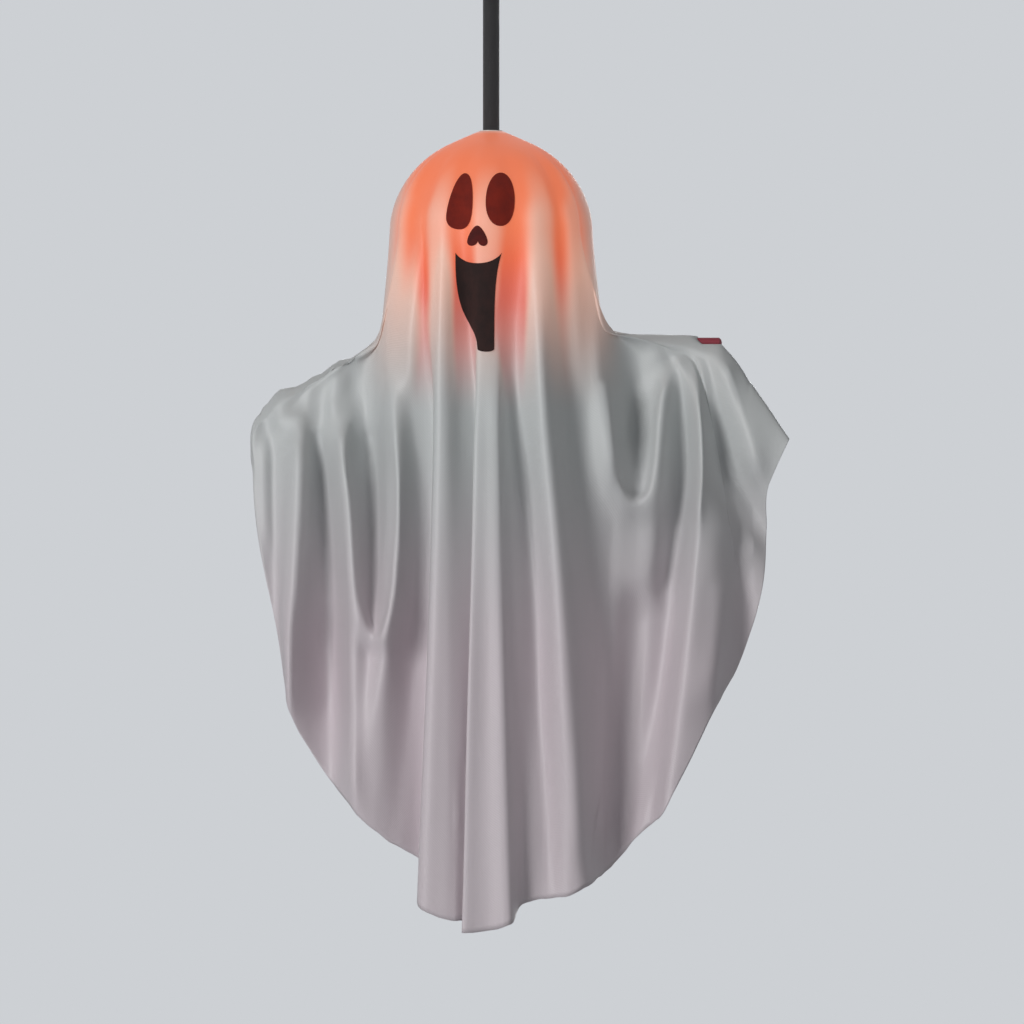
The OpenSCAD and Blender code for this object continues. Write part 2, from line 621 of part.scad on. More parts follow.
// Face outlines, drawn as closed chains of curves: each curve's start, then its two handles. Each
// curve is cut into straight steps.
function bezier(a, b, c, d, t) =
  pow(1 - t, 3) * a + 3 * t * pow(1 - t, 2) * b + 3 * t * t * (1 - t) * c + pow(t, 3) * d;
curve_steps = 8;
function outline(p) = [for (i = [0 : 3 : len(p) - 1]) for (k = [0 : curve_steps - 1])
  bezier(p[i], p[i + 1], p[i + 2], p[(i + 3) % len(p)], k / curve_steps)];

module eye_patch_left() face_patch() polygon(outline([
  [-15.4, 34.2], [-11.8, 34.2], [-10.6, 28.2], [-10.6, 19], [-10.6, 6.8], [-12.2, 0.4],
  [-18.5, 0.4], [-24.5, 0.4], [-27, 3.8], [-26.6, 8.6], [-26, 17], [-20.4, 34.2]]));

module eye_patch_right() face_patch() polygon(outline([
  [5.8, 34.4], [10.8, 34.4], [14.2, 27], [14.2, 18], [14.2, 9], [11.2, 2.2],
  [5.6, 2.2], [0, 2.2], [-3.1, 8.6], [-3.1, 16.4], [-3.1, 26], [0.8, 34.4]]));

module nose_patch() face_patch() polygon(outline([
  [-8, 2.5], [-5.6, 2.5], [-1.9, -4.2], [-1.9, -7.2], [-1.9, -10.6], [-6.6, -10.6],
  [-7.6, -7], [-8.8, -10.4], [-13.9, -10.4], [-13.9, -6.8], [-13.9, -4.2], [-10.4, 2.5]]));

// The mouth: a sagging lip between its corners, then two sides that close on a narrow end
module mouth_patch() face_patch() polygon(outline([
  [-21.2, -13.6], [-15, -22], [0.5, -22], [6.4, -13.6], [3.2, -24], [1.8, -34],
  [1.9, -71], [1.8, -73.3], [-7.6, -73.3], [-7.8, -71], [-8, -52], [-22.4, -58]]));

hang_eye();
hang_cord();
cord_ferrule();
stop_bead();
hanger_cap();
head_shell_top();
head_shell_bottom();
lamp_post();
lamp_board();
lamps();
lamp_resistors();
lead_wires();
battery_case();
battery_door();
door_screws();
cells();
contact_springs();
contact_plates();
switch_body();
switch_slider();
shoulder_collar();
collar_screws();
arm_wire_right();
arm_wire_left();
wire_cap_right();
wire_cap_left();
drape();
eye_patch_left();
eye_patch_right();
nose_patch();
mouth_patch();
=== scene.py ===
"""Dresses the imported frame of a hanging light-up ghost: a satin drape with its folds, the
face printed on it, the braided cord, and the finishes of the lamp and fittings inside."""

import math

import bpy
import numpy as np
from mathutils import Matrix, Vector, noise
from mathutils.bvhtree import BVHTree
from mathutils.geometry import delaunay_2d_cdt


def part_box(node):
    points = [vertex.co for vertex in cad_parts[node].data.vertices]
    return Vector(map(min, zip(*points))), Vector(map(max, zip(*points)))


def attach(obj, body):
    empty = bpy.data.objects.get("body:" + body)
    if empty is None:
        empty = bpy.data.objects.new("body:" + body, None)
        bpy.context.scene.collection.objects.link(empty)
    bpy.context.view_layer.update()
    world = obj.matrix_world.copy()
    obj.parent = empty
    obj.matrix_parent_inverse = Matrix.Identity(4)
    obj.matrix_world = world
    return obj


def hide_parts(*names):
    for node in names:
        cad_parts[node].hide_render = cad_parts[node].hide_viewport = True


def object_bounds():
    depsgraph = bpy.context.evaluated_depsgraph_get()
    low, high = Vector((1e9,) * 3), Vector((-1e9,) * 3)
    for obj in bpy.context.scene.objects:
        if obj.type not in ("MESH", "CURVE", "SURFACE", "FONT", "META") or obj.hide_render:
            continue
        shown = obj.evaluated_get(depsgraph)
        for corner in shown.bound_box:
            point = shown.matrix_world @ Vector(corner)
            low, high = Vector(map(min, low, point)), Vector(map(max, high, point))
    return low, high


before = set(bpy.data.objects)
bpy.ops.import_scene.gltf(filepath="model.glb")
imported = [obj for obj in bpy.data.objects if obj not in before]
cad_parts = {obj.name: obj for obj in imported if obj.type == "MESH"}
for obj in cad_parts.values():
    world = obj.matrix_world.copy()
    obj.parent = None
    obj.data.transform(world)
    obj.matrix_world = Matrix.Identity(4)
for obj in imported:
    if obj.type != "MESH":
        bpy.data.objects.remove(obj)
CAD_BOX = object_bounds()

bl_info = {
    "name": "Hanging ghost",
    "version": (1, 0, 0),
    "blender": (4, 5, 0),
    "location": "3D View > Sidebar > Ghost",
    "description": "Builds the drape, face, cord and finishes of a hanging light-up ghost",
    "category": "Object",
}

MM = 0.001
HEAD_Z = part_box("head_shell_top")[0].z
BALL_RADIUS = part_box("head_shell_top")[1].x
CORD_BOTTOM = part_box("hang_cord")[0].z
CORD_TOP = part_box("hang_cord")[1].z

# The photograph's frame: its width at the drape, and the point at its middle
PHOTO_WIDTH = 614.4 * MM
PHOTO_CENTRE = Vector((12.6 * MM, -30 * MM, HEAD_Z - 168 * MM))
CAMERA_DISTANCE = 4.0

# Fold lines of the drape, from the right arm round the front to the left arm. Each one has its
# direction on the ball in degrees, whether it is a ridge, and four places in millimetres from
# the head's centre: at the arms, above the swags, below them and at the hem.
FRONT_FOLDS = (
    (0, 1, (128, 0, -61.5), (143, -3, -70), (162, -13, -94), (181, -23, -121)),
    (-5, 1, (124, -8, -69), (142, -13, -82), (155, -22, -125), (166, -22, -155)),
    (-8, 0, (118, -8, -71), (133, -10, -86), (142, -12, -135), (166, -10, -181)),
    (-11, 1, (116, -8, -71), (129, -10, -92), (141, -16, -175), (163, -20, -215)),
    (-14, 0, (114, -8, -71), (129, -9, -97), (147, -21, -190), (151, -17, -255)),
    (-17, 1, (112, -8, -71), (127, -15, -102), (132, -31, -190), (131, -40, -292)),
    (-20, 1, (109, -8, -71), (125, -24, -125), (119, -38, -215), (104, -46, -345)),
    (-23, 0, (105, -8, -71), (117, -10, -125), (110, -18, -205), (95, -30, -356)),
    (-26, 1, (99, -9, -70), (102, -18, -115), (97, -28, -180), (85, -33, -365)),
    (-29, 0, (84, -8, -70), (85, -12, -115), (87, -29, -176), (80, -36, -372)),
    (-34, 1, (68, -27, -65), (73, -36, -125), (78, -32, -172), (75, -40, -378)),
    (-46, 0, (44, -46, -65), (50, -42, -140), (64, -38, -235), (66, -48, -385)),
    (-56, 1, (34, -59, -65), (38, -64, -140), (50, -64, -245), (57, -64, -391)),
    (-64, 1, (28, -61, -65), (32, -66, -140), (41, -69, -245), (47, -70, -396)),
    (-76, 0, (14, -54, -65), (17, -57, -140), (24, -60, -245), (19, -67, -401)),
    (-87, 1, (3, -62, -68), (5, -72, -140), (6, -76, -245), (12, -81, -412)),
    (-97, 1, (-8, -63, -68), (-10, -72, -140), (-13, -76, -245), (-17, -81, -417)),
    (-107, 0, (-12, -54, -68), (-6, -55, -140), (-7, -60, -245), (-11, -66, -411)),
    (-117, 1, (-27, -60, -68), (-27, -66, -140), (-26, -70, -245), (-25, -74, -410)),
    (-124, 1, (-33, -58, -68), (-34, -62, -140), (-37, -65, -245), (-43, -66, -402)),
    (-132, 0, (-39, -46, -68), (-31, -39, -140), (-34, -34, -245), (-40, -40, -378)),
    (-140, 0, (-50, -43, -68), (-44, -38, -140), (-45, -33, -245), (-56, -45, -368)),
    (-150, 1, (-62, -31, -68), (-58, -46, -140), (-60, -48, -232), (-70, -49, -358)),
    (-156, 0, (-75, -9, -80), (-73, -12, -140), (-71, -40, -245), (-79, -45, -350)),
    (-160, 1, (-90, -9, -88), (-88, -27, -140), (-82, -41, -232), (-84, -43, -344)),
    (-164, 0, (-104, -9, -94), (-104, -12, -145), (-96, -14, -250), (-96, -25, -330)),
    (-168, 1, (-117, -9, -101), (-117, -25, -145), (-120, -30, -230), (-121, -28, -288)),
    (-172, 0, (-127, -9, -105), (-132, -11, -145), (-129, -15, -215), (-124, -15, -272)),
    (-176, 1, (-136, -9, -109), (-142, -12, -147), (-138, -15, -195), (-128, -11, -245)),
    (-180, 1, (-130, 0, -96), (-140, 0, -104), (-145, 0, -113), (-147, 0, -126)),
)
# Degrees between the back's fold lines, and the one that falls down its middle
BACK_STEP, BACK_MIDDLE = 12, 8
# In millimetres: how far out a fold line belongs to an arm, where such a line turns over the
# shoulder, with the height on the right and on the left, and its distance from the wire
ARM_FOLD_X, SHOULDER_X, SHOULDER_Z, WIRE_ROOM = 70, 67, (-60, -66), 6
# Such a line's lift on the ball, and its depth at the shoulder, as shares of the usual
ARM_LIFT, SHOULDER_DEPTH = 0.5, 0.7
# How far down the ball the folds begin and reach their full lift, and how wide the peak is
FOLDS_START, FOLDS_FULL, PEAK_REACH = math.radians(25), math.radians(85), 18 * MM
# The back's arched hem in millimetres: its height at the hands, its drop and half its width
HEM_TOP, HEM_DROP, HEM_HALF = -130, 245, 155
# Mesh rows over the ball and along each stretch of the fall, and columns between fold lines
BALL_ROWS, FALL_ROWS, CROSS_STEPS = 28, (10, 12, 28, 38, 48), 10
# The mesh column over the left arm, where the front ends. The right arm has column 0.
FRONT_LAST = (len(FRONT_FOLDS) - 1) * CROSS_STEPS

# Creases on the front, seen from the front in millimetres from the head's centre. Each one has
# its height, how far it spreads to the left and to the right as its path runs, and the path.
CREASES = (
    # Swag on the right: down the side of the body, round its low point and up to the hand, and
    # the pocket inside it
    (9, 2.6, 12, ((62, -40), (67, -77), (72, -113), (75, -143), (79, -155), (85, -161), (91, -160),
                  (96, -154), (99, -138), (101, -113), (103, -98), (109, -83), (119, -70))),
    (-1.2, 14, 14, ((83, -80), (84, -110), (86, -142))),
    # Under the swag, and between it and the hand
    (-13, 14, 13, ((92, -205), (84, -250), (77, -300), (72, -350), (68, -400))),
    (-6, 7, 7, ((113, -90), (111, -149), (107, -195), (100, -225))),
    # Right hand: its long ridge in two stretches, the edge of the corner and the hollow under it,
    # the lobe below in two stretches, and a short ridge across
    (9, 9, 7, ((126, -62), (126, -119), (126, -150), (124, -185))),
    (9, 19, 7, ((126, -140), (125, -175), (122, -209), (114, -257), (104, -305), (93, -356),
                (83, -410))),
    (6, 18, 5, ((134, -62), (139, -84), (147, -114), (156, -140), (167, -156))),
    (-5, 7, 7, ((137, -92), (140, -118), (142, -144), (149, -162), (164, -177))),
    (6, 6, 10, ((134, -145), (138, -190), (139, -225), (135, -255), (127, -290))),
    (3, 8, 10, ((134, -250), (130, -295), (120, -340))),
    (7, 5, 5, ((130, -158), (147, -180), (165, -196))),
    # Swag on the left, the pocket inside it and the ridge below it
    (9, 2.6, 8, ((-88, -84), (-89, -129), (-84, -165), (-82, -208), (-78, -227), (-71, -241),
                 (-64, -238), (-58, -215), (-55, -165), (-57, -122), (-61, -70))),
    (-5, 8, 8, ((-73, -105), (-71, -150), (-71, -205), (-69, -236))),
    (5, 7, 7, ((-60, -200), (-62, -235), (-67, -262), (-73, -292), (-78, -330), (-80, -390))),
    # Gathers over the left shoulder and beside the right cap
    (3.5, 4, 4, ((-129, -92), (-127, -106), (-125, -126))),
    (3, 3, 4, ((-103, -78), (-101, -94), (-99, -116))),
    (3, 4, 4, ((-78, -72), (-84, -82), (-91, -92), (-95, -104))),
    (2.5, 3, 4, ((118, -64), (105, -70), (95, -80), (89, -100))),
    # Left hand: its long ridge, the hollows beside and below it, their far edge, the outer ridge
    (7, 4, 7, ((-113, -90), (-112, -143), (-116, -197), (-121, -251), (-121, -300))),
    (-6, 8, 8, ((-103, -110), (-101, -165), (-98, -215), (-95, -262), (-93, -305))),
    (-9, 9, 13, ((-105, -215), (-104, -252), (-102, -282), (-96, -322))),
    (5, 6, 6, ((-86, -215), (-84, -265), (-84, -310), (-80, -360))),
    (3, 4, 4, ((-137, -110), (-136, -160), (-133, -205))),
    # Ridges down both sides of the head
    (2.4, 4, 6, ((40, 26), (46, 8), (50, -30), (53, -80), (57, -110))),
    (2.4, 5, 5, ((-36, 26), (-42, 4), (-46, -36), (-49, -80), (-52, -110))),
    # Hollow on the right of the tail
    (-5, 6, 6, ((20, -110), (24, -175), (28, -225), (30, -281), (33, -340), (37, -430))),
    # Edges of the tail, the fold on its left, and the fold on its right in two stretches
    (5, 2.2, 8, ((4, -60), (5, -160), (8, -280), (12, -430), (13, -500))),
    (5, 8, 2.2, ((-10, -60), (-12, -200), (-17, -340), (-19, -430), (-20, -500))),
    (4.5, 8, 2.4, ((-29, 5), (-31, -60), (-34, -160), (-38, -280), (-43, -430), (-45, -500))),
    (1.6, 6, 8, ((25, 24), (27, 0), (28, -30), (31, -80), (35, -140))),
    (5.5, 8, 9, ((28, -25), (30, -101), (38, -175), (42, -225), (46, -281), (53, -340),
                 (60, -440))),
)

# A crease's path has so many steps for each point. The crease comes up over a share of the path
# at each end, over so many millimetres if that is more, and over so large a share at most.
PATH_STEPS, END_SHARE, END_RUN, END_MOST = 6, 1 / 7, 32, 0.45
# In millimetres: how far to the side other cloth is looked for, how far in front it has to lie to
# keep cloth from being creased, and the ease of that
OVERLAP, HIDDEN, HIDDEN_EASE = 4, 11, 6
# Half the body's width in millimetres, beyond which the cloth hangs from the arms, and its ease
BODY_HALF, BODY_EASE = 60, 8

# Places where the cloth lies slack and its folds run out: least and most x, then least and most z
SLACK = ((-134, -64, -122, -52), (64, 114, -92, -46), (122, 158, -215, -84))
# Their soft edge in millimetres, how often they are evened out, and how much across and along
SLACK_EASE, SLACK_PASSES, SLACK_ACROSS, SLACK_ALONG = 9, 14, 0.6, 0.4

# Sizes of the waves along the fall, of the bunched cloth and lumps on the left arm, and of the cut
# edge's waves
FALL_WAVE, BUNCH, LUMP, CUT_WAVE = 17 * MM, 13 * MM, 11 * MM, 8 * MM
# The waves' highest place, the lumps' height beside the bunched cloth's, the rows that the cut
# edge moves, and the waves' width beside their length
WAVE_TOP, LUMP_RISE, CUT_ROWS, FALL_STRETCH = 30 * MM, 1.4, 9, 0.16

# The edges over the arms: columns to each side that are rounded, those that are rounded all the
# way down, how often, the others' lowest place on the right and on the left, and its ease
EDGE_REACH, EDGE_CORE, EDGE_PASSES = 28, 9, 9
EDGE_LOW, EDGE_EASE = (-80 * MM, -114 * MM), 10 * MM

# Cloth round the right cap: room below it, how far past its end and to its sides the cloth gives
# way, and the ease at both ends
CAP_ROOM, CAP_PAST, CAP_SIDE, CAP_RUN, CAP_EASE = 0.6 * MM, 5 * MM, 9 * MM, 3 * MM, 1 * MM

# The printed face: steps of each outline curve, mesh step and merging distance in millimetres,
# and where the rays that lay it on the drape start
CURVE_STEPS, PRINT_STEP, PRINT_MERGE, RAY_START_Y = 24, 0.9, 1e-5, -0.3

# Sizes of the materials' patterns
MOULD_GRAIN, GLOSS_PATCH, GLOW_MOTTLE, SOFT_CREASE = 0.6 * MM, 14 * MM, 38 * MM, 9 * MM
INK_PATCH, INK_GRAIN, METAL_GRAIN, FROST = 7 * MM, 0.8 * MM, 0.7 * MM, 0.5 * MM
ROLLER_GRAIN = 3 * MM
# The satin's threads are 0.3 mm apart, drawn at 0.9 mm to show. A wave node of scale SLANT_BAND
# has slanting bands one metre apart.
THREAD_PITCH, SLANT_BAND = 0.9 * MM, 0.363
# The cord's strands: a wave node's scale for 1 mm between them on a map in millimetres, and slope
STRAND_SCALE, STRAND_SLOPE = 0.32, math.radians(38)
# How much of the glow's colour the lit cloth gives out, and how much light it still sends back
GLOW_OUT, GLOW_BACK = 0.66, 0.62

# Stage: the floor's distance below the ghost, radius, sides and lift, and the light from all round
FLOOR_DROP, FLOOR_RADIUS, FLOOR_SIDES, FLOOR_LIFT = 0.4, 2.5, 96, 0.55
WORLD_FILL = 0.09
# Studio lamps: name, place, size in metres and power in watts, and the point they look at
LAMPS = (
    ("key_lamp", (-1.7, -2.4, 0.4), 0.8, 50),
    ("side_lamp", (2.4, -1.6, 0.6), 1.2, 7),
    ("back_lamp", (0.3, 2.9, -0.2), 1.4, 36),
)
LAMP_TARGET = Vector((0, 0, HEAD_Z - 0.15))


def linear(hex_code):
    """A linear colour with alpha from an sRGB hex value."""
    parts = [int(hex_code[i:i + 2], 16) / 255 for i in (1, 3, 5)]
    return tuple(c / 12.92 if c <= 0.04045 else ((c + 0.055) / 1.055) ** 2.4 for c in parts) + (1,)


def smooth(low, high, value):
    """0 at low, 1 at high and an eased change between them, whichever is larger."""
    t = min(max((value - low) / (high - low), 0), 1)
    return t * t * (3 - 2 * t)


def length(name, text, default):
    """A length that a user may change, in metres."""
    return bpy.props.FloatProperty(name=name, description=text, default=default, unit="LENGTH",
                                   subtype="DISTANCE")


def colour(name, text, hex_code):
    """A colour that a user may change."""
    return bpy.props.FloatVectorProperty(name=name, description=text, default=linear(hex_code),
                                         size=4, subtype="COLOR", min=0, max=1)


class GhostSizes(bpy.types.PropertyGroup):
    """Sizes of the cloth, the print, the cord and the glow."""

    cloth_gap: length("Cloth gap", "Distance from the ball to the drape in a valley", 1.8 * MM)
    ridge_lift: length("Ridge lift", "How far a fold stands off the ball at its widest", 3 * MM)
    hole_radius: length("Neck hole", "Radius of the drape's hole round the collar", 7.7 * MM)
    peak: length("Peak", "How far the drape rises to the collar at its hole", 2.6 * MM)
    cloth_thickness: length("Cloth thickness", "Thickness of the satin", 0.4 * MM)
    wrinkle: length("Wrinkle height", "Height of the small wrinkles between folds", 0.8 * MM)
    shoulder_wrinkle: length("Shoulder wrinkles", "Height of the bunched cloth on the left arm",
                             3 * MM)
    print_lift: length("Print lift", "How far the printed face lies off the cloth", 0.45 * MM)
    cord_diameter: length("Cord diameter", "Diameter of the braided cord",
                          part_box("hang_cord")[1].x * 2)
    glow_reach: length("Glow reach", "How far below the head's centre the lamp tints the cloth",
                       110 * MM)


class GhostColours(bpy.types.PropertyGroup):
    """Colours of the cloth, the print, the fittings and the stage."""

    satin: colour("Satin", "Cloth near the head in white light", "#C8CBCB")
    low_satin: colour("Low satin", "Cloth near the hem in white light", "#D0C6CB")
    lit_satin: colour("Lit satin", "Cloth with the lamp behind it", "#EC7549")
    pale_glow: colour("Pale glow", "Lit satin on the ridges and at the head's sides", "#FFB99A")
    deep_glow: colour("Deep glow", "Valleys that lie close to the lit ball", "#E04A1E")
    ink: colour("Face ink", "Printed face", "#1E0E0C")
    lit_ink: colour("Lit ink", "Printed face with the lamp behind it", "#580F04")
    cord: colour("Cord", "Braided cord", "#141416")
    red_vinyl: colour("Red vinyl", "Caps on the arm wires", "#8A2C3A")
    white_plastic: colour("White plastic", "Moulded fittings", "#E6E3DC")
    backdrop: colour("Backdrop", "Floor and background", "#CDD0D4")


# Shading


def add_node(tree, kind, inputs=None, to=None, stops=None, **settings):
    """Adds a shader node with its settings, sets or links its inputs, links its outputs on and
    gives them back."""
    made = tree.nodes.new("ShaderNode" + kind)
    for key, value in settings.items():
        setattr(made, key, value)
    for key, value in (inputs or {}).items():
        if isinstance(value, bpy.types.NodeSocket):
            tree.links.new(value, made.inputs[key])
        else:
            made.inputs[key].default_value = value
    for key, value in (to or {}).items():
        tree.links.new(made.outputs[key], value)
    for i, stop in enumerate(stops or ()):
        made.color_ramp.elements[i].position, made.color_ramp.elements[i].color = stop
    return made.outputs


def new_material(name, **sockets):
    """A material with one Principled shader, its node tree and that shader's inputs."""
    made = bpy.data.materials.new(name)
    made.use_nodes = True
    inputs = made.node_tree.nodes["Principled BSDF"].inputs
    for key, value in sockets.items():
        inputs[key.replace("_", " ")].default_value = value
    return made, made.node_tree, inputs


def moulded_plastic(name, base, roughness):
    """Moulded plastic: an even colour with a faint spark-eroded grain that softens the gloss."""
    made, tree, inputs = new_material(name, Base_Color=base, Roughness=roughness, IOR=1.53)
    place = add_node(tree, "TexCoord")["Object"]
    grain = add_node(tree, "TexNoise", {"Vector": place, "Scale": 1 / MOULD_GRAIN, "Detail": 3.0})
    patch = add_node(tree, "TexNoise", {"Vector": place, "Scale": 1 / GLOSS_PATCH, "Detail": 2.0})
    add_node(tree, "MapRange", {"Value": patch["Fac"], "To Min": roughness - 0.06,
                                "To Max": roughness + 0.08}, {0: inputs["Roughness"]})
    add_node(tree, "Bump", {"Height": grain["Fac"], "Strength": 0.25, "Distance": 0.06 * MM},
             {"Normal": inputs["Normal"]})
    return made


def satin_weave(sizes, colours):
    """Polyester satin, woven: long floats give a soft sheen along the folds, and the lamp inside
    tints it orange on the head, reddest where it touches the ball and palest on the ridges."""
    made, tree, inputs = new_material("polyester_satin_woven", Roughness=0.5, IOR=1.5,
                                      Sheen_Weight=0.25, Sheen_Roughness=0.4)
    place = add_node(tree, "TexCoord")["Object"]
    from_head = add_node(tree, "VectorMath", {0: place, 1: (0, 0, HEAD_Z)}, operation="SUBTRACT")[0]
    axes = add_node(tree, "SeparateXYZ", {"Vector": from_head})
    # Distance from the ball above its middle, and from the upright line through it below
    flat = add_node(tree, "VectorMath", {0: from_head, 1: (1, 1, 0)}, operation="MULTIPLY")[0]
    high = add_node(tree, "Math", {0: axes["Z"], 1: 0.0}, operation="MAXIMUM")[0]
    lift = add_node(tree, "CombineXYZ", {"Z": high})[0]
    reach = add_node(tree, "VectorMath", {0: flat, 1: lift}, operation="ADD")[0]
    radius = add_node(tree, "VectorMath", {0: reach}, operation="LENGTH")["Value"]
    skin = BALL_RADIUS + sizes.cloth_gap
    # Depth in front of the ball's middle or behind it, more towards the crown
    depth = add_node(tree, "Math", {0: axes["Y"]}, operation="ABSOLUTE")[0]
    crown = add_node(tree, "MapRange", {"Value": axes["Z"], "From Min": 20 * MM,
                                        "From Max": 58 * MM, "To Max": 36 * MM})[0]
    depth = add_node(tree, "Math", {0: depth, 1: crown}, operation="ADD")[0]
    near, beside, facing, fade, below_eyes, low = (
        add_node(tree, "MapRange", {"Value": value, "From Min": start, "From Max": end,
                                    "To Min": first, "To Max": last},
                 interpolation_type="SMOOTHSTEP")[0]
        for value, start, end, first, last in (
            # Close to the ball, and still beside it
            (radius, skin + 0.6 * MM, skin + 6 * MM, 1.0, 0.0),
            (radius, skin + 8 * MM, skin + 24 * MM, 1.0, 0.0),
            # The lamps look forward and back, so the sides are paler
            (depth, 8 * MM, 38 * MM, 0.42, 1.0),
            # The glow's fade below the head, its deeper colour below the eyes, and the low cloth
            (axes["Z"], -sizes.glow_reach, -10 * MM, 0.0, 1.0),
            (axes["Z"], 10 * MM, -45 * MM, 0.0, 1.0),
            (axes["Z"], -110 * MM, -270 * MM, 0.0, 1.0),
        ))
    mottle = add_node(tree, "TexNoise", {"Vector": place, "Scale": 1 / GLOW_MOTTLE, "Detail": 2.0})
    vary = add_node(tree, "MapRange", {"Value": mottle["Fac"], "To Min": 0.85, "To Max": 1.1})[0]
    lit = facing
    for part in (fade, beside, vary):
        lit = add_node(tree, "Math", {0: lit, 1: part}, operation="MULTIPLY", use_clamp=True)[0]
    deep = add_node(tree, "Math", {0: near, 1: below_eyes}, operation="MULTIPLY")[0]
    hue = add_node(tree, "Mix", {"Factor": deep, 6: tuple(colours.lit_satin),
                                 7: tuple(colours.deep_glow)}, data_type="RGBA")[2]
    strong = add_node(tree, "Math", {0: near, 1: facing}, operation="MULTIPLY")[0]
    hue = add_node(tree, "Mix", {"Factor": strong, 6: tuple(colours.pale_glow), 7: hue},
                   data_type="RGBA")[2]
    ridge = add_node(tree, "MapRange", {"Value": near, "To Min": 0.58, "To Max": 0.95})[0]
    tint = add_node(tree, "Math", {0: lit, 1: ridge}, operation="MULTIPLY")[0]
    plain = add_node(tree, "Mix", {"Factor": low, 6: tuple(colours.satin),
                                   7: tuple(colours.low_satin)}, data_type="RGBA")[2]
    # Lit cloth gives out light and sends less of it back
    dim = add_node(tree, "VectorMath", {0: hue, 1: (GLOW_BACK,) * 3}, operation="MULTIPLY")[0]
    add_node(tree, "Mix", {"Factor": tint, 6: plain, 7: dim}, {2: inputs["Base Color"]},
             data_type="RGBA")
    tree.links.new(hue, inputs["Emission Color"])
    add_node(tree, "Math", {0: tint, 1: GLOW_OUT}, {0: inputs["Emission Strength"]},
             operation="MULTIPLY")
    # Threads, with long soft creases along the fall
    threads = add_node(tree, "TexWave", {"Vector": place, "Scale": SLANT_BAND / THREAD_PITCH,
                                         "Distortion": 1.5, "Detail": 2.0},
                       bands_direction="DIAGONAL")["Fac"]
    stretch = add_node(tree, "VectorMath", {0: place, 1: (1, 1, FALL_STRETCH)},
                       operation="MULTIPLY")[0]
    crease = add_node(tree, "TexNoise", {"Vector": stretch, "Scale": 1 / SOFT_CREASE,
                                         "Detail": 3.0})
    height = add_node(tree, "Math", {0: crease["Fac"], 1: 6.0}, operation="MULTIPLY")[0]
    both = add_node(tree, "Math", {0: height, 1: threads}, operation="ADD")[0]
    add_node(tree, "Bump", {"Height": both, "Strength": 0.3, "Distance": 0.12 * MM},
             {"Normal": inputs["Normal"]})
    return made


def screen_print(name, ink, lit_ink, glow):
    """Screen-printed ink on satin: matt, a little uneven, dark red where the lamp is behind it."""
    made, tree, inputs = new_material(name, Roughness=0.92, IOR=1.48, Emission_Strength=glow)
    place = add_node(tree, "TexCoord")["Object"]
    cover = add_node(tree, "TexNoise", {"Vector": place, "Scale": 1 / INK_PATCH, "Detail": 4.0})
    shade = add_node(tree, "ValToRGB", {"Fac": cover["Fac"]}, stops=((0.35, ink), (0.7, lit_ink)))
    for socket in ("Base Color", "Emission Color"):
        tree.links.new(shade["Color"], inputs[socket])
    fine = add_node(tree, "TexNoise", {"Vector": place, "Scale": 1 / INK_GRAIN, "Detail": 2.0})
    add_node(tree, "Bump", {"Height": fine["Fac"], "Strength": 0.3, "Distance": 0.08 * MM},
             {"Normal": inputs["Normal"]})
    return made


def braided_cord(colours):
    """Braided polypropylene: two sets of strands cross in small diamonds that catch the light, and
    painted shade darkens the grooves between them.
    """
    made, tree, inputs = new_material("polypropylene_braid", Roughness=0.48, IOR=1.49,
                                      Sheen_Weight=0.15)
    place = add_node(tree, "TexCoord")["UV"]
    strands = []
    for slope in (STRAND_SLOPE, -STRAND_SLOPE):
        turned = add_node(tree, "Mapping", {"Vector": place, "Rotation": (0, 0, slope)})[0]
        strands.append(add_node(tree, "TexWave", {"Vector": turned, "Scale": STRAND_SCALE,
                                                  "Distortion": 0.4}, wave_profile="SIN")["Fac"])
    weave = add_node(tree, "Math", {0: strands[0], 1: strands[1]}, operation="MAXIMUM")[0]
    # Painted shade: the grooves between the strands are darker than the cord's own colour
    dark = tuple(c * 0.45 for c in colours.cord[:3]) + (1,)
    add_node(tree, "ValToRGB", {"Fac": weave}, {"Color": inputs["Base Color"]},
             stops=((0.2, dark), (0.9, tuple(colours.cord))))
    add_node(tree, "Bump", {"Height": weave, "Strength": 0.8, "Distance": 0.35 * MM},
             {"Normal": inputs["Normal"]})
    return made


def drawn_metal(name, base, roughness):
    """Drawn or stamped metal: a fine bright grain with a dull film between."""
    made, tree, inputs = new_material(name, Base_Color=base, Metallic=1.0, Roughness=roughness)
    place = add_node(tree, "TexCoord")["Object"]
    grain = add_node(tree, "TexNoise", {"Vector": place, "Scale": 1 / METAL_GRAIN, "Detail": 3.0})
    add_node(tree, "MapRange", {"Value": grain["Fac"], "To Min": roughness - 0.08,
                                "To Max": roughness + 0.12}, {0: inputs["Roughness"]})
    add_node(tree, "Bump", {"Height": grain["Fac"], "Strength": 0.15, "Distance": 0.03 * MM},
             {"Normal": inputs["Normal"]})
    return made


def glowing_shell(name, base, glow, strength):
    """Frosted plastic lit from inside: a matt milky skin that spreads the lamps' orange light."""
    made, tree, inputs = new_material(name, Base_Color=base, Roughness=0.55, IOR=1.59,
                                      Emission_Color=glow, Emission_Strength=strength)
    place = add_node(tree, "TexCoord")["Object"]
    frost = add_node(tree, "TexNoise", {"Vector": place, "Scale": 1 / FROST, "Detail": 3.0})
    add_node(tree, "Bump", {"Height": frost["Fac"], "Strength": 0.2, "Distance": 0.05 * MM},
             {"Normal": inputs["Normal"]})
    return made


# Drape


def spline(points, u):
    """A smooth curve through all but the end points, at u counted from the second one."""
    i = min(int(u), len(points) - 4)
    a, b, c, d = points[i:i + 4]
    t = u - i
    return (b + (c - a) * (t / 2) + (a - b * 2.5 + c * 2 - d / 2) * (t * t)
            + ((d - a) / 2 + (b - c) * 1.5) * t ** 3)


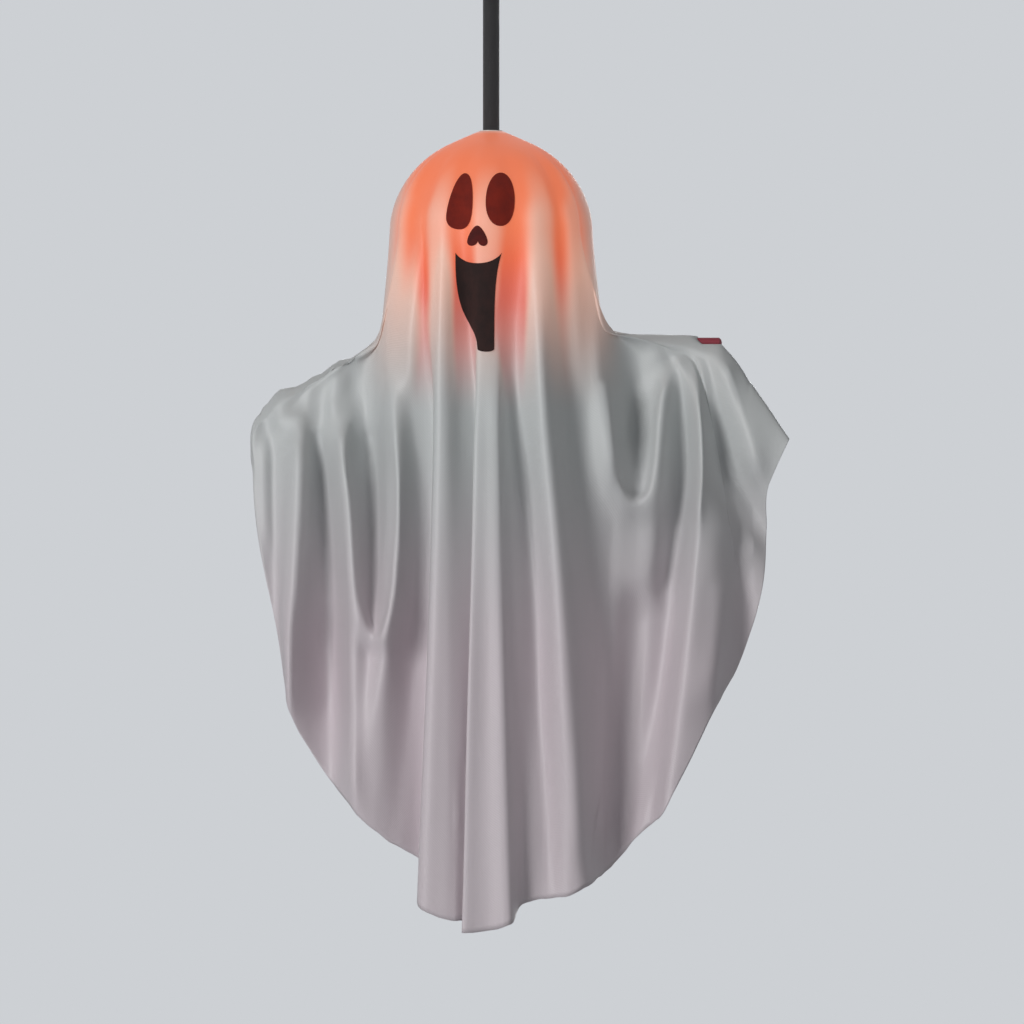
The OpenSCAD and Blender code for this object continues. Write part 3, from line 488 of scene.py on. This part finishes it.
def back_hem(x):
    """Height of the back's arched hem."""
    return HEM_TOP - HEM_DROP * math.sqrt(max(0, 1 - (x / HEM_HALF) ** 2))


def back_folds():
    """The back's fold lines, which alternate, from the left arm round to the right arm."""
    folds = [(176, 1, (-137, 9, -109), (-142, 12, -145), (-138, 13, -185), (-130, 8, -232))]
    # The folds that hang from the wires, with the x and z where they start
    arms = {1: (-119, -104), 2: (-106, -95), 3: (-86, -86), 12: (84, -71), 13: (104, -71),
            14: (122, -71)}
    for k in range(1, 15):
        angle = 180 - BACK_STEP * k
        side = 1 if k % 2 == 0 else -1
        c, s = math.cos(math.radians(angle)), math.sin(math.radians(angle))
        if k in arms:
            x, z = arms[k]
            w = 1.04 * x
            fall = ((x, 9, z), (w, 20 + 8 * side, -145), (w, 25 + 10 * side, -215),
                    (w, 23 + 10 * side, back_hem(w)))
        else:
            fall = ((60 * c, (58 + 4 * side) * s, -66), (72 * c, (58 + 10 * side) * s, -145),
                    (84 * c, (60 + 14 * side) * s, -245),
                    (92 * c, (60 + 18 * side) * s, back_hem(92 * c)))
        folds.append((angle, max(side, 0)) + fall)
    folds.append((4, 1, (136, 8, -71), (148, 11, -108), (153, 13, -140), (158, 11, -170)))
    return folds


def fold_line(fold, sizes):
    """All of one fold line's mesh points, from the collar over the ball to the hem."""
    angle, ridge = math.radians(fold[0]), fold[1]
    places = [Vector(p) * MM for p in fold[2:]]
    around = Vector((math.cos(angle), math.sin(angle), 0))
    skin = BALL_RADIUS + sizes.cloth_gap
    start = math.asin(sizes.hole_radius / skin)
    arm = abs(places[0].x) > ARM_FOLD_X * MM
    lift = sizes.ridge_lift * (ARM_LIFT if arm else ridge)
    points = []
    for row in range(BALL_ROWS + 1):
        tilt = start + (math.pi / 2 - start) * row / BALL_ROWS
        reach = skin + lift * smooth(FOLDS_START, FOLDS_FULL, tilt)
        off_axis = reach * math.sin(tilt)
        peak = sizes.peak * max(0, 1 - (off_axis - sizes.hole_radius) / PEAK_REACH) ** 2
        points.append(around * off_axis + Vector((0, 0, reach * math.cos(tilt) + peak)))
    equator = points[-1]
    end = places[3] * 2 - places[2]
    if arm:
        side = 1 if equator.x > 0 else -1
        room = 0 if abs(equator.y) < MM else math.copysign(WIRE_ROOM * MM, equator.y)
        shoulder = Vector((side * SHOULDER_X * MM, room + SHOULDER_DEPTH * equator.y,
                           SHOULDER_Z[0 if side > 0 else 1] * MM))
    else:
        shoulder = (equator + places[0]) / 2
    # The cloth leaves the ball straight down
    above = [equator + Vector((0, 0, 40 * MM)), equator, shoulder, shoulder * 2 - equator]
    below = [shoulder * 2 - places[0], shoulder] + places + [end]
    whole = above[:3] + places + [end]
    for stretch, count in enumerate(FALL_ROWS):
        for step in range(1, count + 1):
            u = stretch + step / count
            if not arm:
                points.append(spline(whole, u))
            else:
                points.append(spline(above, u) if u < 1 else spline(below, u - 1))
    return points


def cross_curve(ring):
    """Closed curve through a ring of points, with its knots spaced so that it never loops."""
    count = len(ring)
    gap = [max((ring[(i + 1) % count] - ring[i]).length, 1e-6) ** 0.5 for i in range(count)]
    made = []
    for i in range(count):
        a, b, c, d = (ring[(i + k) % count] for k in (-1, 0, 1, 2))
        ga, gb, gc = gap[i - 1], gap[i], gap[(i + 1) % count]
        lean_b = ((b - a) / ga - (c - a) / (ga + gb) + (c - b) / gb) * gb
        lean_c = ((c - b) / gb - (d - b) / (gb + gc) + (d - c) / gc) * gb
        for t in np.arange(CROSS_STEPS) / CROSS_STEPS:
            made.append(b * (2 * t ** 3 - 3 * t * t + 1) + lean_b * (t ** 3 - 2 * t * t + t)
                        + c * (3 * t * t - 2 * t ** 3) + lean_c * (t ** 3 - t * t))
    return made


def drape_grid(sizes):
    """Rows of drape points in metres from the head's centre: rows, columns and axes."""
    lines = [fold_line(fold, sizes) for fold in list(FRONT_FOLDS) + back_folds()]
    rows = [cross_curve([line[r] for line in lines]) for r in range(len(lines[0]))]
    return np.array([[tuple(p) for p in row] for row in rows])


def grid_normals(grid):
    """Outward normals of the grid."""
    down = np.gradient(grid, axis=0)
    across = np.roll(grid, -1, axis=1) - np.roll(grid, 1, axis=1)
    normals = np.cross(across, down)
    return normals / np.maximum(np.linalg.norm(normals, axis=2, keepdims=True), 1e-12)


def smooth_path(points):
    """A path of close points through the given ones."""
    whole = [Vector(p) for p in points]
    whole = [whole[0] * 2 - whole[1]] + whole + [whole[-1] * 2 - whole[-2]]
    places = np.linspace(0, len(points) - 1, PATH_STEPS * len(points))
    return np.array([tuple(spline(whole, u)) for u in places])


def past_body(x):
    """0 on the body and 1 on the arms, at x in millimetres."""
    return np.clip((abs(x) - BODY_HALF) / BODY_EASE, 0, 1)


def crease_front(grid):
    """Brings the drape's front forward along the ridges, and back along the hollows."""
    rows, columns = grid.shape[:2]
    share = np.zeros(columns)
    for c in range(FRONT_LAST + 1):
        share[c] = smooth(0, CROSS_STEPS, c) * smooth(FRONT_LAST, FRONT_LAST - CROSS_STEPS, c)
    x, y, z = (grid[:, :, k] / MM for k in range(3))
    # On the body, cloth that lies behind the edge of another fold stays where it is
    outer = np.array([np.where(abs(x[r, :, None] - x[r]) < OVERLAP, y[r], 0).min(axis=1)
                      for r in range(rows)])
    shown = np.maximum(np.clip((outer - y + HIDDEN) / HIDDEN_EASE, 0, 1), past_body(x))
    forward = np.zeros((rows, columns))
    for height, left, right, points in CREASES:
        path = smooth_path(points)
        nearest = np.full((rows, columns), np.inf)
        spread, along = np.ones((rows, columns)), np.zeros((rows, columns))
        for i, (a, b) in enumerate(zip(path[:-1], path[1:])):
            way = b - a
            t = ((x - a[0]) * way[0] + (z - a[1]) * way[1]) / max(way @ way, 1e-9)
            t = np.clip(t, 0, 1)
            gap = np.hypot(x - a[0] - t * way[0], z - a[1] - t * way[1])
            side = np.where(way[0] * (z - a[1]) - way[1] * (x - a[0]) > 0, left, right)
            spread = np.where(gap < nearest, side, spread)
            along = np.where(gap < nearest, (i + t) / (len(path) - 1), along)
            nearest = np.minimum(gap, nearest)
        run = np.linalg.norm(np.diff(path, axis=0), axis=1).sum()
        ends = np.minimum(along, 1 - along) / min(max(END_SHARE, END_RUN / run), END_MOST)
        ends = np.clip(ends, 0, 1)
        forward += height * ends * ends * (3 - 2 * ends) * np.exp(-(nearest / spread) ** 2)
    grid[:, :, 1] -= forward * MM * shown * share
    return grid


def slacken(grid):
    """Evens out the folds where the cloth lies slack."""
    x, z = grid[:, :, 0] / MM, grid[:, :, 2] / MM
    share = np.zeros(grid.shape[:2])
    for x0, x1, z0, z1 in SLACK:
        inside = np.minimum(np.minimum(x - x0, x1 - x), np.minimum(z - z0, z1 - z))
        share = np.maximum(share, np.clip(inside / SLACK_EASE, 0, 1))
    share = share[:, :, None]
    for _ in range(SLACK_PASSES):
        level = (np.roll(grid, 1, axis=1) + np.roll(grid, -1, axis=1)) / 2
        grid = grid + (level - grid) * share * SLACK_ACROSS
        level = grid.copy()
        level[1:-1] = (grid[:-2] + grid[2:]) / 2
        grid = grid + (level - grid) * share * SLACK_ALONG
    return grid


def wrinkle(grid, sizes):
    """Small waves along the fall, none on the upper ball, and bunched cloth on the left arm."""
    normals = grid_normals(grid)
    rows, columns = grid.shape[:2]
    for r in range(rows):
        # The cut edge is a little uneven
        uneven = MM * smooth(rows - CUT_ROWS, rows, r)
        for c in range(columns):
            x, y, z = grid[r, c]
            if z > WAVE_TOP:
                continue
            fall = noise.noise(Vector((x, y, z * FALL_STRETCH)) / FALL_WAVE) * sizes.wrinkle
            fall *= smooth(WAVE_TOP, -60 * MM, z)
            bunch = noise.noise(Vector((x, y, z)) / BUNCH) * sizes.shoulder_wrinkle
            bunch *= smooth(-60 * MM, -85 * MM, x) * smooth(-150 * MM, -105 * MM, z)
            bunch *= smooth(9 * MM, 16 * MM, abs(y))
            # Lumps along the top of the arm that rise and fall together from front to back
            lump = noise.noise(Vector((x / LUMP, 0, 0))) * LUMP_RISE * sizes.shoulder_wrinkle
            lump *= smooth(-70 * MM, -86 * MM, x) * smooth(20 * MM, 8 * MM, abs(y))
            lump *= smooth(-130 * MM, -112 * MM, z)
            grid[r, c] += normals[r, c] * (fall + bunch + lump)
            grid[r, c, 2] += noise.noise(Vector((x, y, 0)) / CUT_WAVE) * uneven
    return grid


def round_arm_ridges(grid):
    """Rounds the edges over the arms, where the front turns into the back."""
    columns = grid.shape[1]
    steps = range(-EDGE_REACH, EDGE_REACH + 1)
    core = [abs(k) < EDGE_CORE for k in steps[1:-1]]
    for edge, low in zip((0, FRONT_LAST), EDGE_LOW):
        ring = [(edge + k) % columns for k in steps]
        for _ in range(EDGE_PASSES):
            before = grid[:, ring]
            middle = before[:, 1:-1]
            level = (before[:, :-2] + middle * 2 + before[:, 2:]) / 4
            share = np.clip((middle[:, :, 2] - low) / EDGE_EASE, 0, 1)
            share = np.where(core, 1, share * past_body(middle[:, :, 0] / MM))
            grid[:, ring[1:-1]] += (level - middle) * share[:, :, None]
    return grid


def seat_under_cap(grid):
    """Lays the drape round the lower half of the red cap that comes out at the right hand."""
    low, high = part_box("wire_cap_right")
    axis = (low.z + high.z) / 2 - HEAD_Z
    room = (high.z - low.z) / 2 + CAP_ROOM
    end = high.x + CAP_PAST
    for point in grid.reshape(-1, 3):
        x, y, z = point
        if not (low.x < x < end and abs(y) < CAP_SIDE):
            continue
        along = smooth(low.x, low.x + CAP_RUN, x) * smooth(end, high.x + CAP_EASE, x)
        limit = axis - max(MM, math.sqrt(max(room ** 2 - y ** 2, 0)))
        point[2] += min(limit - z, 0) * along
    return grid


def ring_faces(rings, sides):
    """Four-sided faces between neighbouring closed rings of points."""
    made = []
    for r in range(rings - 1):
        for k in range(sides):
            a, b = r * sides + k, r * sides + (k + 1) % sides
            made.append((a, b, b + sides, a + sides))
    return made


def mesh_object(name, points, faces, material):
    """A smooth-shaded mesh object."""
    mesh = bpy.data.meshes.new(name)
    mesh.from_pydata([tuple(p) for p in points], [], faces)
    mesh.materials.append(material)
    mesh.shade_smooth()
    mesh.update()
    made = bpy.data.objects.new(name, mesh)
    bpy.context.scene.collection.objects.link(made)
    return made


class GHOST_OT_drape(bpy.types.Operator):
    """Hang the satin drape over the ball and the arms."""

    bl_idname = "ghost.drape"
    bl_label = "Drape"

    def execute(self, context):
        sizes, colours = context.scene.ghost_sizes, context.scene.ghost_colours
        grid = wrinkle(slacken(crease_front(drape_grid(sizes))), sizes)
        grid = seat_under_cap(round_arm_ridges(grid))
        grid[:, :, 2] += HEAD_Z
        faces = ring_faces(*grid.shape[:2])
        drape = mesh_object("satin_drape", grid.reshape(-1, 3), faces, satin_weave(sizes, colours))
        cloth = drape.modifiers.new("cloth_thickness", "SOLIDIFY")
        cloth.thickness, cloth.offset = sizes.cloth_thickness, -1
        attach(drape, "ghost")
        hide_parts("drape")
        return {"FINISHED"}


# Face, drawn on the front plane in millimetres from the head's centre


def bezier(a, b, c, d):
    """Points along a cubic curve, without its last one."""
    a, b, c, d = (np.array(p, float) for p in (a, b, c, d))
    return [a * (1 - t) ** 3 + b * 3 * t * (1 - t) ** 2 + c * 3 * t * t * (1 - t) + d * t ** 3
            for t in np.linspace(0, 1, CURVE_STEPS, endpoint=False)]


def outline(*points):
    """A closed outline of curves, given as each curve's start and two handles."""
    count = len(points)
    return [p for i in range(0, count, 3)
            for p in bezier(*points[i:i + 3], points[(i + 3) % count])]


LEFT_EYE = outline(
    (-15.4, 34.2), (-11.8, 34.2), (-10.6, 28.2), (-10.6, 19), (-10.6, 6.8), (-12.2, 0.4),
    (-18.5, 0.4), (-24.5, 0.4), (-27, 3.8), (-26.6, 8.6), (-26, 17), (-20.4, 34.2))
RIGHT_EYE = outline(
    (5.8, 34.4), (10.8, 34.4), (14.2, 27), (14.2, 18), (14.2, 9), (11.2, 2.2),
    (5.6, 2.2), (0, 2.2), (-3.1, 8.6), (-3.1, 16.4), (-3.1, 26), (0.8, 34.4))
NOSE = outline(
    (-8, 2.5), (-5.6, 2.5), (-1.9, -4.2), (-1.9, -7.2), (-1.9, -10.6), (-6.6, -10.6),
    (-7.6, -7), (-8.8, -10.4), (-13.9, -10.4), (-13.9, -6.8), (-13.9, -4.2), (-10.4, 2.5))
# The mouth: a sagging lip, then two sides that close on a long narrow end
MOUTH = outline(
    (-21.2, -13.6), (-15, -22), (0.5, -22), (6.4, -13.6), (3.2, -24), (1.8, -34),
    (1.9, -71), (1.8, -73.3), (-7.6, -73.3), (-7.8, -71), (-8, -52), (-22.4, -58))


def print_on_drape(name, shape, tree, lift, material):
    """A thin printed area that follows the drape's front behind an outline."""
    shape = np.array(shape)
    across, up = (np.arange(low, high, PRINT_STEP)
                  for low, high in zip(shape.min(axis=0), shape.max(axis=0)))
    inner = [(x, z) for x in across for z in up]
    flat, _, faces, *_ = delaunay_2d_cdt([Vector(p) for p in [*shape, *inner]], [],
                                         [list(range(len(shape)))], 1, PRINT_MERGE)
    points = []
    for x, z in flat:
        start = Vector((x * MM, RAY_START_Y, HEAD_Z + z * MM))
        spot, normal, *_ = tree.ray_cast(start, Vector((0, 1, 0)))
        if spot is None:
            raise RuntimeError(name + " misses the drape")
        points.append(spot + normal * math.copysign(lift, -normal.y))
    return mesh_object(name, points, [tuple(f) for f in faces], material)


class GHOST_OT_face(bpy.types.Operator):
    """Print the eyes, nose and mouth on the drape."""

    bl_idname = "ghost.face"
    bl_label = "Face"

    def execute(self, context):
        sizes, colours = context.scene.ghost_sizes, context.scene.ghost_colours
        mesh = bpy.data.objects["satin_drape"].data
        tree = BVHTree.FromPolygons([v.co for v in mesh.vertices],
                                    [p.vertices for p in mesh.polygons])
        ink, lit = tuple(colours.ink), tuple(colours.lit_ink)
        eyes = screen_print("screen_print_lit_eyes", lit, linear("#661405"), 0.45)
        nose = screen_print("screen_print_lit_nose", linear("#3A0705"), linear("#520C07"), 0.35)
        mouth = screen_print("screen_print_mouth", ink, linear("#2A1512"), 0.15)
        prints = (
            ("eye_print_left", "eye_patch_left", LEFT_EYE, eyes),
            ("eye_print_right", "eye_patch_right", RIGHT_EYE, eyes),
            ("nose_print", "nose_patch", NOSE, nose),
            ("mouth_print", "mouth_patch", MOUTH, mouth),
        )
        for name, cad_node, shape, material in prints:
            piece = print_on_drape(name, shape, tree, sizes.print_lift, material)
            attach(piece, "ghost")
            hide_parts(cad_node)
        return {"FINISHED"}


# Cord and fittings


class GHOST_OT_cord(bpy.types.Operator):
    """Make the braided cord that the ghost hangs on."""

    bl_idname = "ghost.cord"
    bl_label = "Cord"

    def execute(self, context):
        sizes, colours = context.scene.ghost_sizes, context.scene.ghost_colours
        radius, sides, rings = sizes.cord_diameter / 2, 40, 60
        heights = np.linspace(CORD_BOTTOM, CORD_TOP, rings)
        turns = [2 * math.pi * k / sides for k in range(sides)]
        points = [(radius * math.cos(a), radius * math.sin(a), z) for z in heights for a in turns]
        faces = ring_faces(rings, sides)
        faces += [tuple(range(sides))[::-1], tuple(range((rings - 1) * sides, rings * sides))]
        cord = mesh_object("braided_cord", points, faces, braided_cord(colours))
        layer = cord.data.uv_layers.new(name="round_and_along_mm")
        for polygon in cord.data.polygons:
            for loop, vertex in zip(polygon.loop_indices, polygon.vertices):
                k, r = vertex % sides, vertex // sides
                if k == 0 and any(v % sides == sides - 1 for v in polygon.vertices):
                    k = sides
                layer.data[loop].uv = (2 * math.pi * radius / MM * k / sides,
                                       (heights[r] - CORD_BOTTOM) / MM)
        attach(cord, "cord")
        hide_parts("hang_cord")
        return {"FINISHED"}


class GHOST_OT_fittings(bpy.types.Operator):
    """Give the moulded, metal and lit pieces their finishes."""

    bl_idname = "ghost.fittings"
    bl_label = "Fittings"

    def execute(self, context):
        colours = context.scene.ghost_colours
        white = moulded_plastic("abs_white_moulded", tuple(colours.white_plastic), 0.42)
        lit = linear("#FF7A3C")
        shell = glowing_shell("polystyrene_frosted", linear("#F2E4D2"), lit, 0.55)
        steel = drawn_metal("steel_nickel_plated", linear("#C9C8C4"), 0.3)
        dark = moulded_plastic("abs_black_moulded", linear("#1E1E21"), 0.45)
        finishes = {
            moulded_plastic("nylon_black_moulded", linear("#17171A"), 0.32): ("hang_eye",),
            drawn_metal("aluminium_crimped", linear("#BEBEC0"), 0.36): ("cord_ferrule",),
            moulded_plastic("acetal_cream_moulded", linear("#DED6C4"), 0.28): ("stop_bead",),
            white: ("hanger_cap", "lamp_post", "battery_case", "battery_door", "shoulder_collar"),
            shell: ("head_shell_top", "head_shell_bottom"),
            moulded_plastic("glass_epoxy_board", linear("#2B6E42"), 0.4): ("lamp_board",),
            glowing_shell("epoxy_lamp_lit", linear("#FFB080"), lit, 3.0): ("lamps",),
            moulded_plastic("resistor_lacquer", linear("#C8A26A"), 0.35): ("lamp_resistors",),
            moulded_plastic("lead_vinyl_red", linear("#A81E18"), 0.4): ("lead_wires",),
            moulded_plastic("cell_sleeve_shrunk", linear("#3E4C5C"), 0.3): ("cells",),
            steel: ("door_screws", "contact_springs", "contact_plates", "collar_screws"),
            dark: ("switch_body", "switch_slider"),
            drawn_metal("steel_wire_drawn", linear("#D2D2D0"), 0.4):
                ("arm_wire_left", "arm_wire_right"),
            moulded_plastic("vinyl_red_dipped", tuple(colours.red_vinyl), 0.5):
                ("wire_cap_left", "wire_cap_right"),
        }
        for material, names in finishes.items():
            for name in names:
                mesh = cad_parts[name].data
                mesh.materials.clear()
                mesh.materials.append(material)
        return {"FINISHED"}


# Stage


def soft_box(name, place, size, power):
    """A square studio lamp that looks at the ghost."""
    lamp = bpy.data.lights.new(name, "AREA")
    lamp.size, lamp.energy = size, power
    made = bpy.data.objects.new(name, lamp)
    made.location = place
    made.rotation_euler = (LAMP_TARGET - Vector(place)).to_track_quat("-Z", "Y").to_euler()
    bpy.context.scene.collection.objects.link(made)


class GHOST_OT_camera(bpy.types.Operator):
    """Put the camera where the photograph was taken from."""

    bl_idname = "ghost.camera"
    bl_label = "Camera"

    def execute(self, context):
        data = bpy.data.cameras.new("photo_camera")
        data.lens = data.sensor_width * CAMERA_DISTANCE / PHOTO_WIDTH
        camera = bpy.data.objects.new("photo_camera", data)
        camera.location = PHOTO_CENTRE - Vector((0, CAMERA_DISTANCE, 0))
        camera.rotation_euler = (math.pi / 2, 0, 0)
        context.scene.collection.objects.link(camera)
        context.scene.camera = camera
        return {"FINISHED"}


class GHOST_OT_stage(bpy.types.Operator):
    """Add the floor, the background and the studio lamps."""

    bl_idname = "ghost.stage"
    bl_label = "Stage"

    def execute(self, context):
        scene = context.scene
        scene.view_settings.view_transform = "Standard"
        pale = tuple(scene.ghost_colours.backdrop)
        floor_z = CAD_BOX[0].z - FLOOR_DROP
        paint, tree, inputs = new_material("matt_floor_paint", Base_Color=pale, Roughness=0.9,
                                           Emission_Color=pale)
        # Lifts the floor in the camera's view only, so no more light falls on the ghost
        rays = add_node(tree, "LightPath")
        add_node(tree, "Math", {0: rays["Is Camera Ray"], 1: FLOOR_LIFT},
                 {0: inputs["Emission Strength"]}, operation="MULTIPLY")
        place = add_node(tree, "TexCoord")["Object"]
        roller = add_node(tree, "TexNoise",
                          {"Vector": place, "Scale": 1 / ROLLER_GRAIN, "Detail": 2.0})
        add_node(tree, "Bump", {"Height": roller["Fac"], "Strength": 0.1, "Distance": 0.1 * MM},
                 {"Normal": inputs["Normal"]})
        turns = np.linspace(0, 2 * math.pi, FLOOR_SIDES, endpoint=False)
        rim = [(FLOOR_RADIUS * math.cos(a), FLOOR_RADIUS * math.sin(a), floor_z) for a in turns]
        floor = mesh_object("floor", rim, [tuple(range(FLOOR_SIDES))], paint)
        world = bpy.data.worlds.new("studio")
        scene.world = world
        world.use_nodes = True
        tree = world.node_tree
        tree.nodes.clear()
        # The camera sees the plain background, and the ghost gets a weaker light from it
        rays = add_node(tree, "LightPath")
        seen = rays["Is Camera Ray"]
        for kind in ("Is Glossy Ray", "Is Transmission Ray"):
            seen = add_node(tree, "Math", {0: seen, 1: rays[kind]}, operation="MAXIMUM")[0]
        fill = add_node(tree, "Background", {"Color": (1, 1, 1, 1), "Strength": WORLD_FILL})[0]
        plain = add_node(tree, "Background", {"Color": pale, "Strength": 1.0})[0]
        either = add_node(tree, "MixShader", {0: seen, 1: fill, 2: plain})[0]
        add_node(tree, "OutputWorld", {"Surface": either})
        for lamp in LAMPS:
            soft_box(*lamp)
        return {"FINISHED"}


class GHOST_PT_panel(bpy.types.Panel):
    """Lists the ghost's pieces, sizes and colours."""

    bl_idname = "GHOST_PT_panel"
    bl_label = "Hanging ghost"
    bl_space_type = "VIEW_3D"
    bl_region_type = "UI"
    bl_category = "Ghost"

    def draw(self, context):
        for operator in OPERATORS:
            self.layout.operator(operator.bl_idname)
        for group in (context.scene.ghost_sizes, context.scene.ghost_colours):
            for name in group.bl_rna.properties.keys():
                if name not in {"rna_type", "name"}:
                    self.layout.prop(group, name)


OPERATORS = (GHOST_OT_camera, GHOST_OT_cord, GHOST_OT_drape, GHOST_OT_face, GHOST_OT_fittings,
             GHOST_OT_stage)
CLASSES = (GhostSizes, GhostColours) + OPERATORS + (GHOST_PT_panel,)


def register():
    """Registers the classes and puts the settings on the scene."""
    for cls in CLASSES:
        bpy.utils.register_class(cls)
    bpy.types.Scene.ghost_sizes = bpy.props.PointerProperty(type=GhostSizes)
    bpy.types.Scene.ghost_colours = bpy.props.PointerProperty(type=GhostColours)


def unregister():
    """Takes the settings off the scene and the classes out again."""
    del bpy.types.Scene.ghost_sizes
    del bpy.types.Scene.ghost_colours
    for cls in reversed(CLASSES):
        bpy.utils.unregister_class(cls)


def main():
    """Builds all pieces in order."""
    register()
    bpy.ops.ghost.camera()
    bpy.ops.ghost.cord()
    bpy.ops.ghost.drape()
    bpy.ops.ghost.face()
    bpy.ops.ghost.fittings()
    bpy.ops.ghost.stage()


if __name__ == "__main__":
    main()
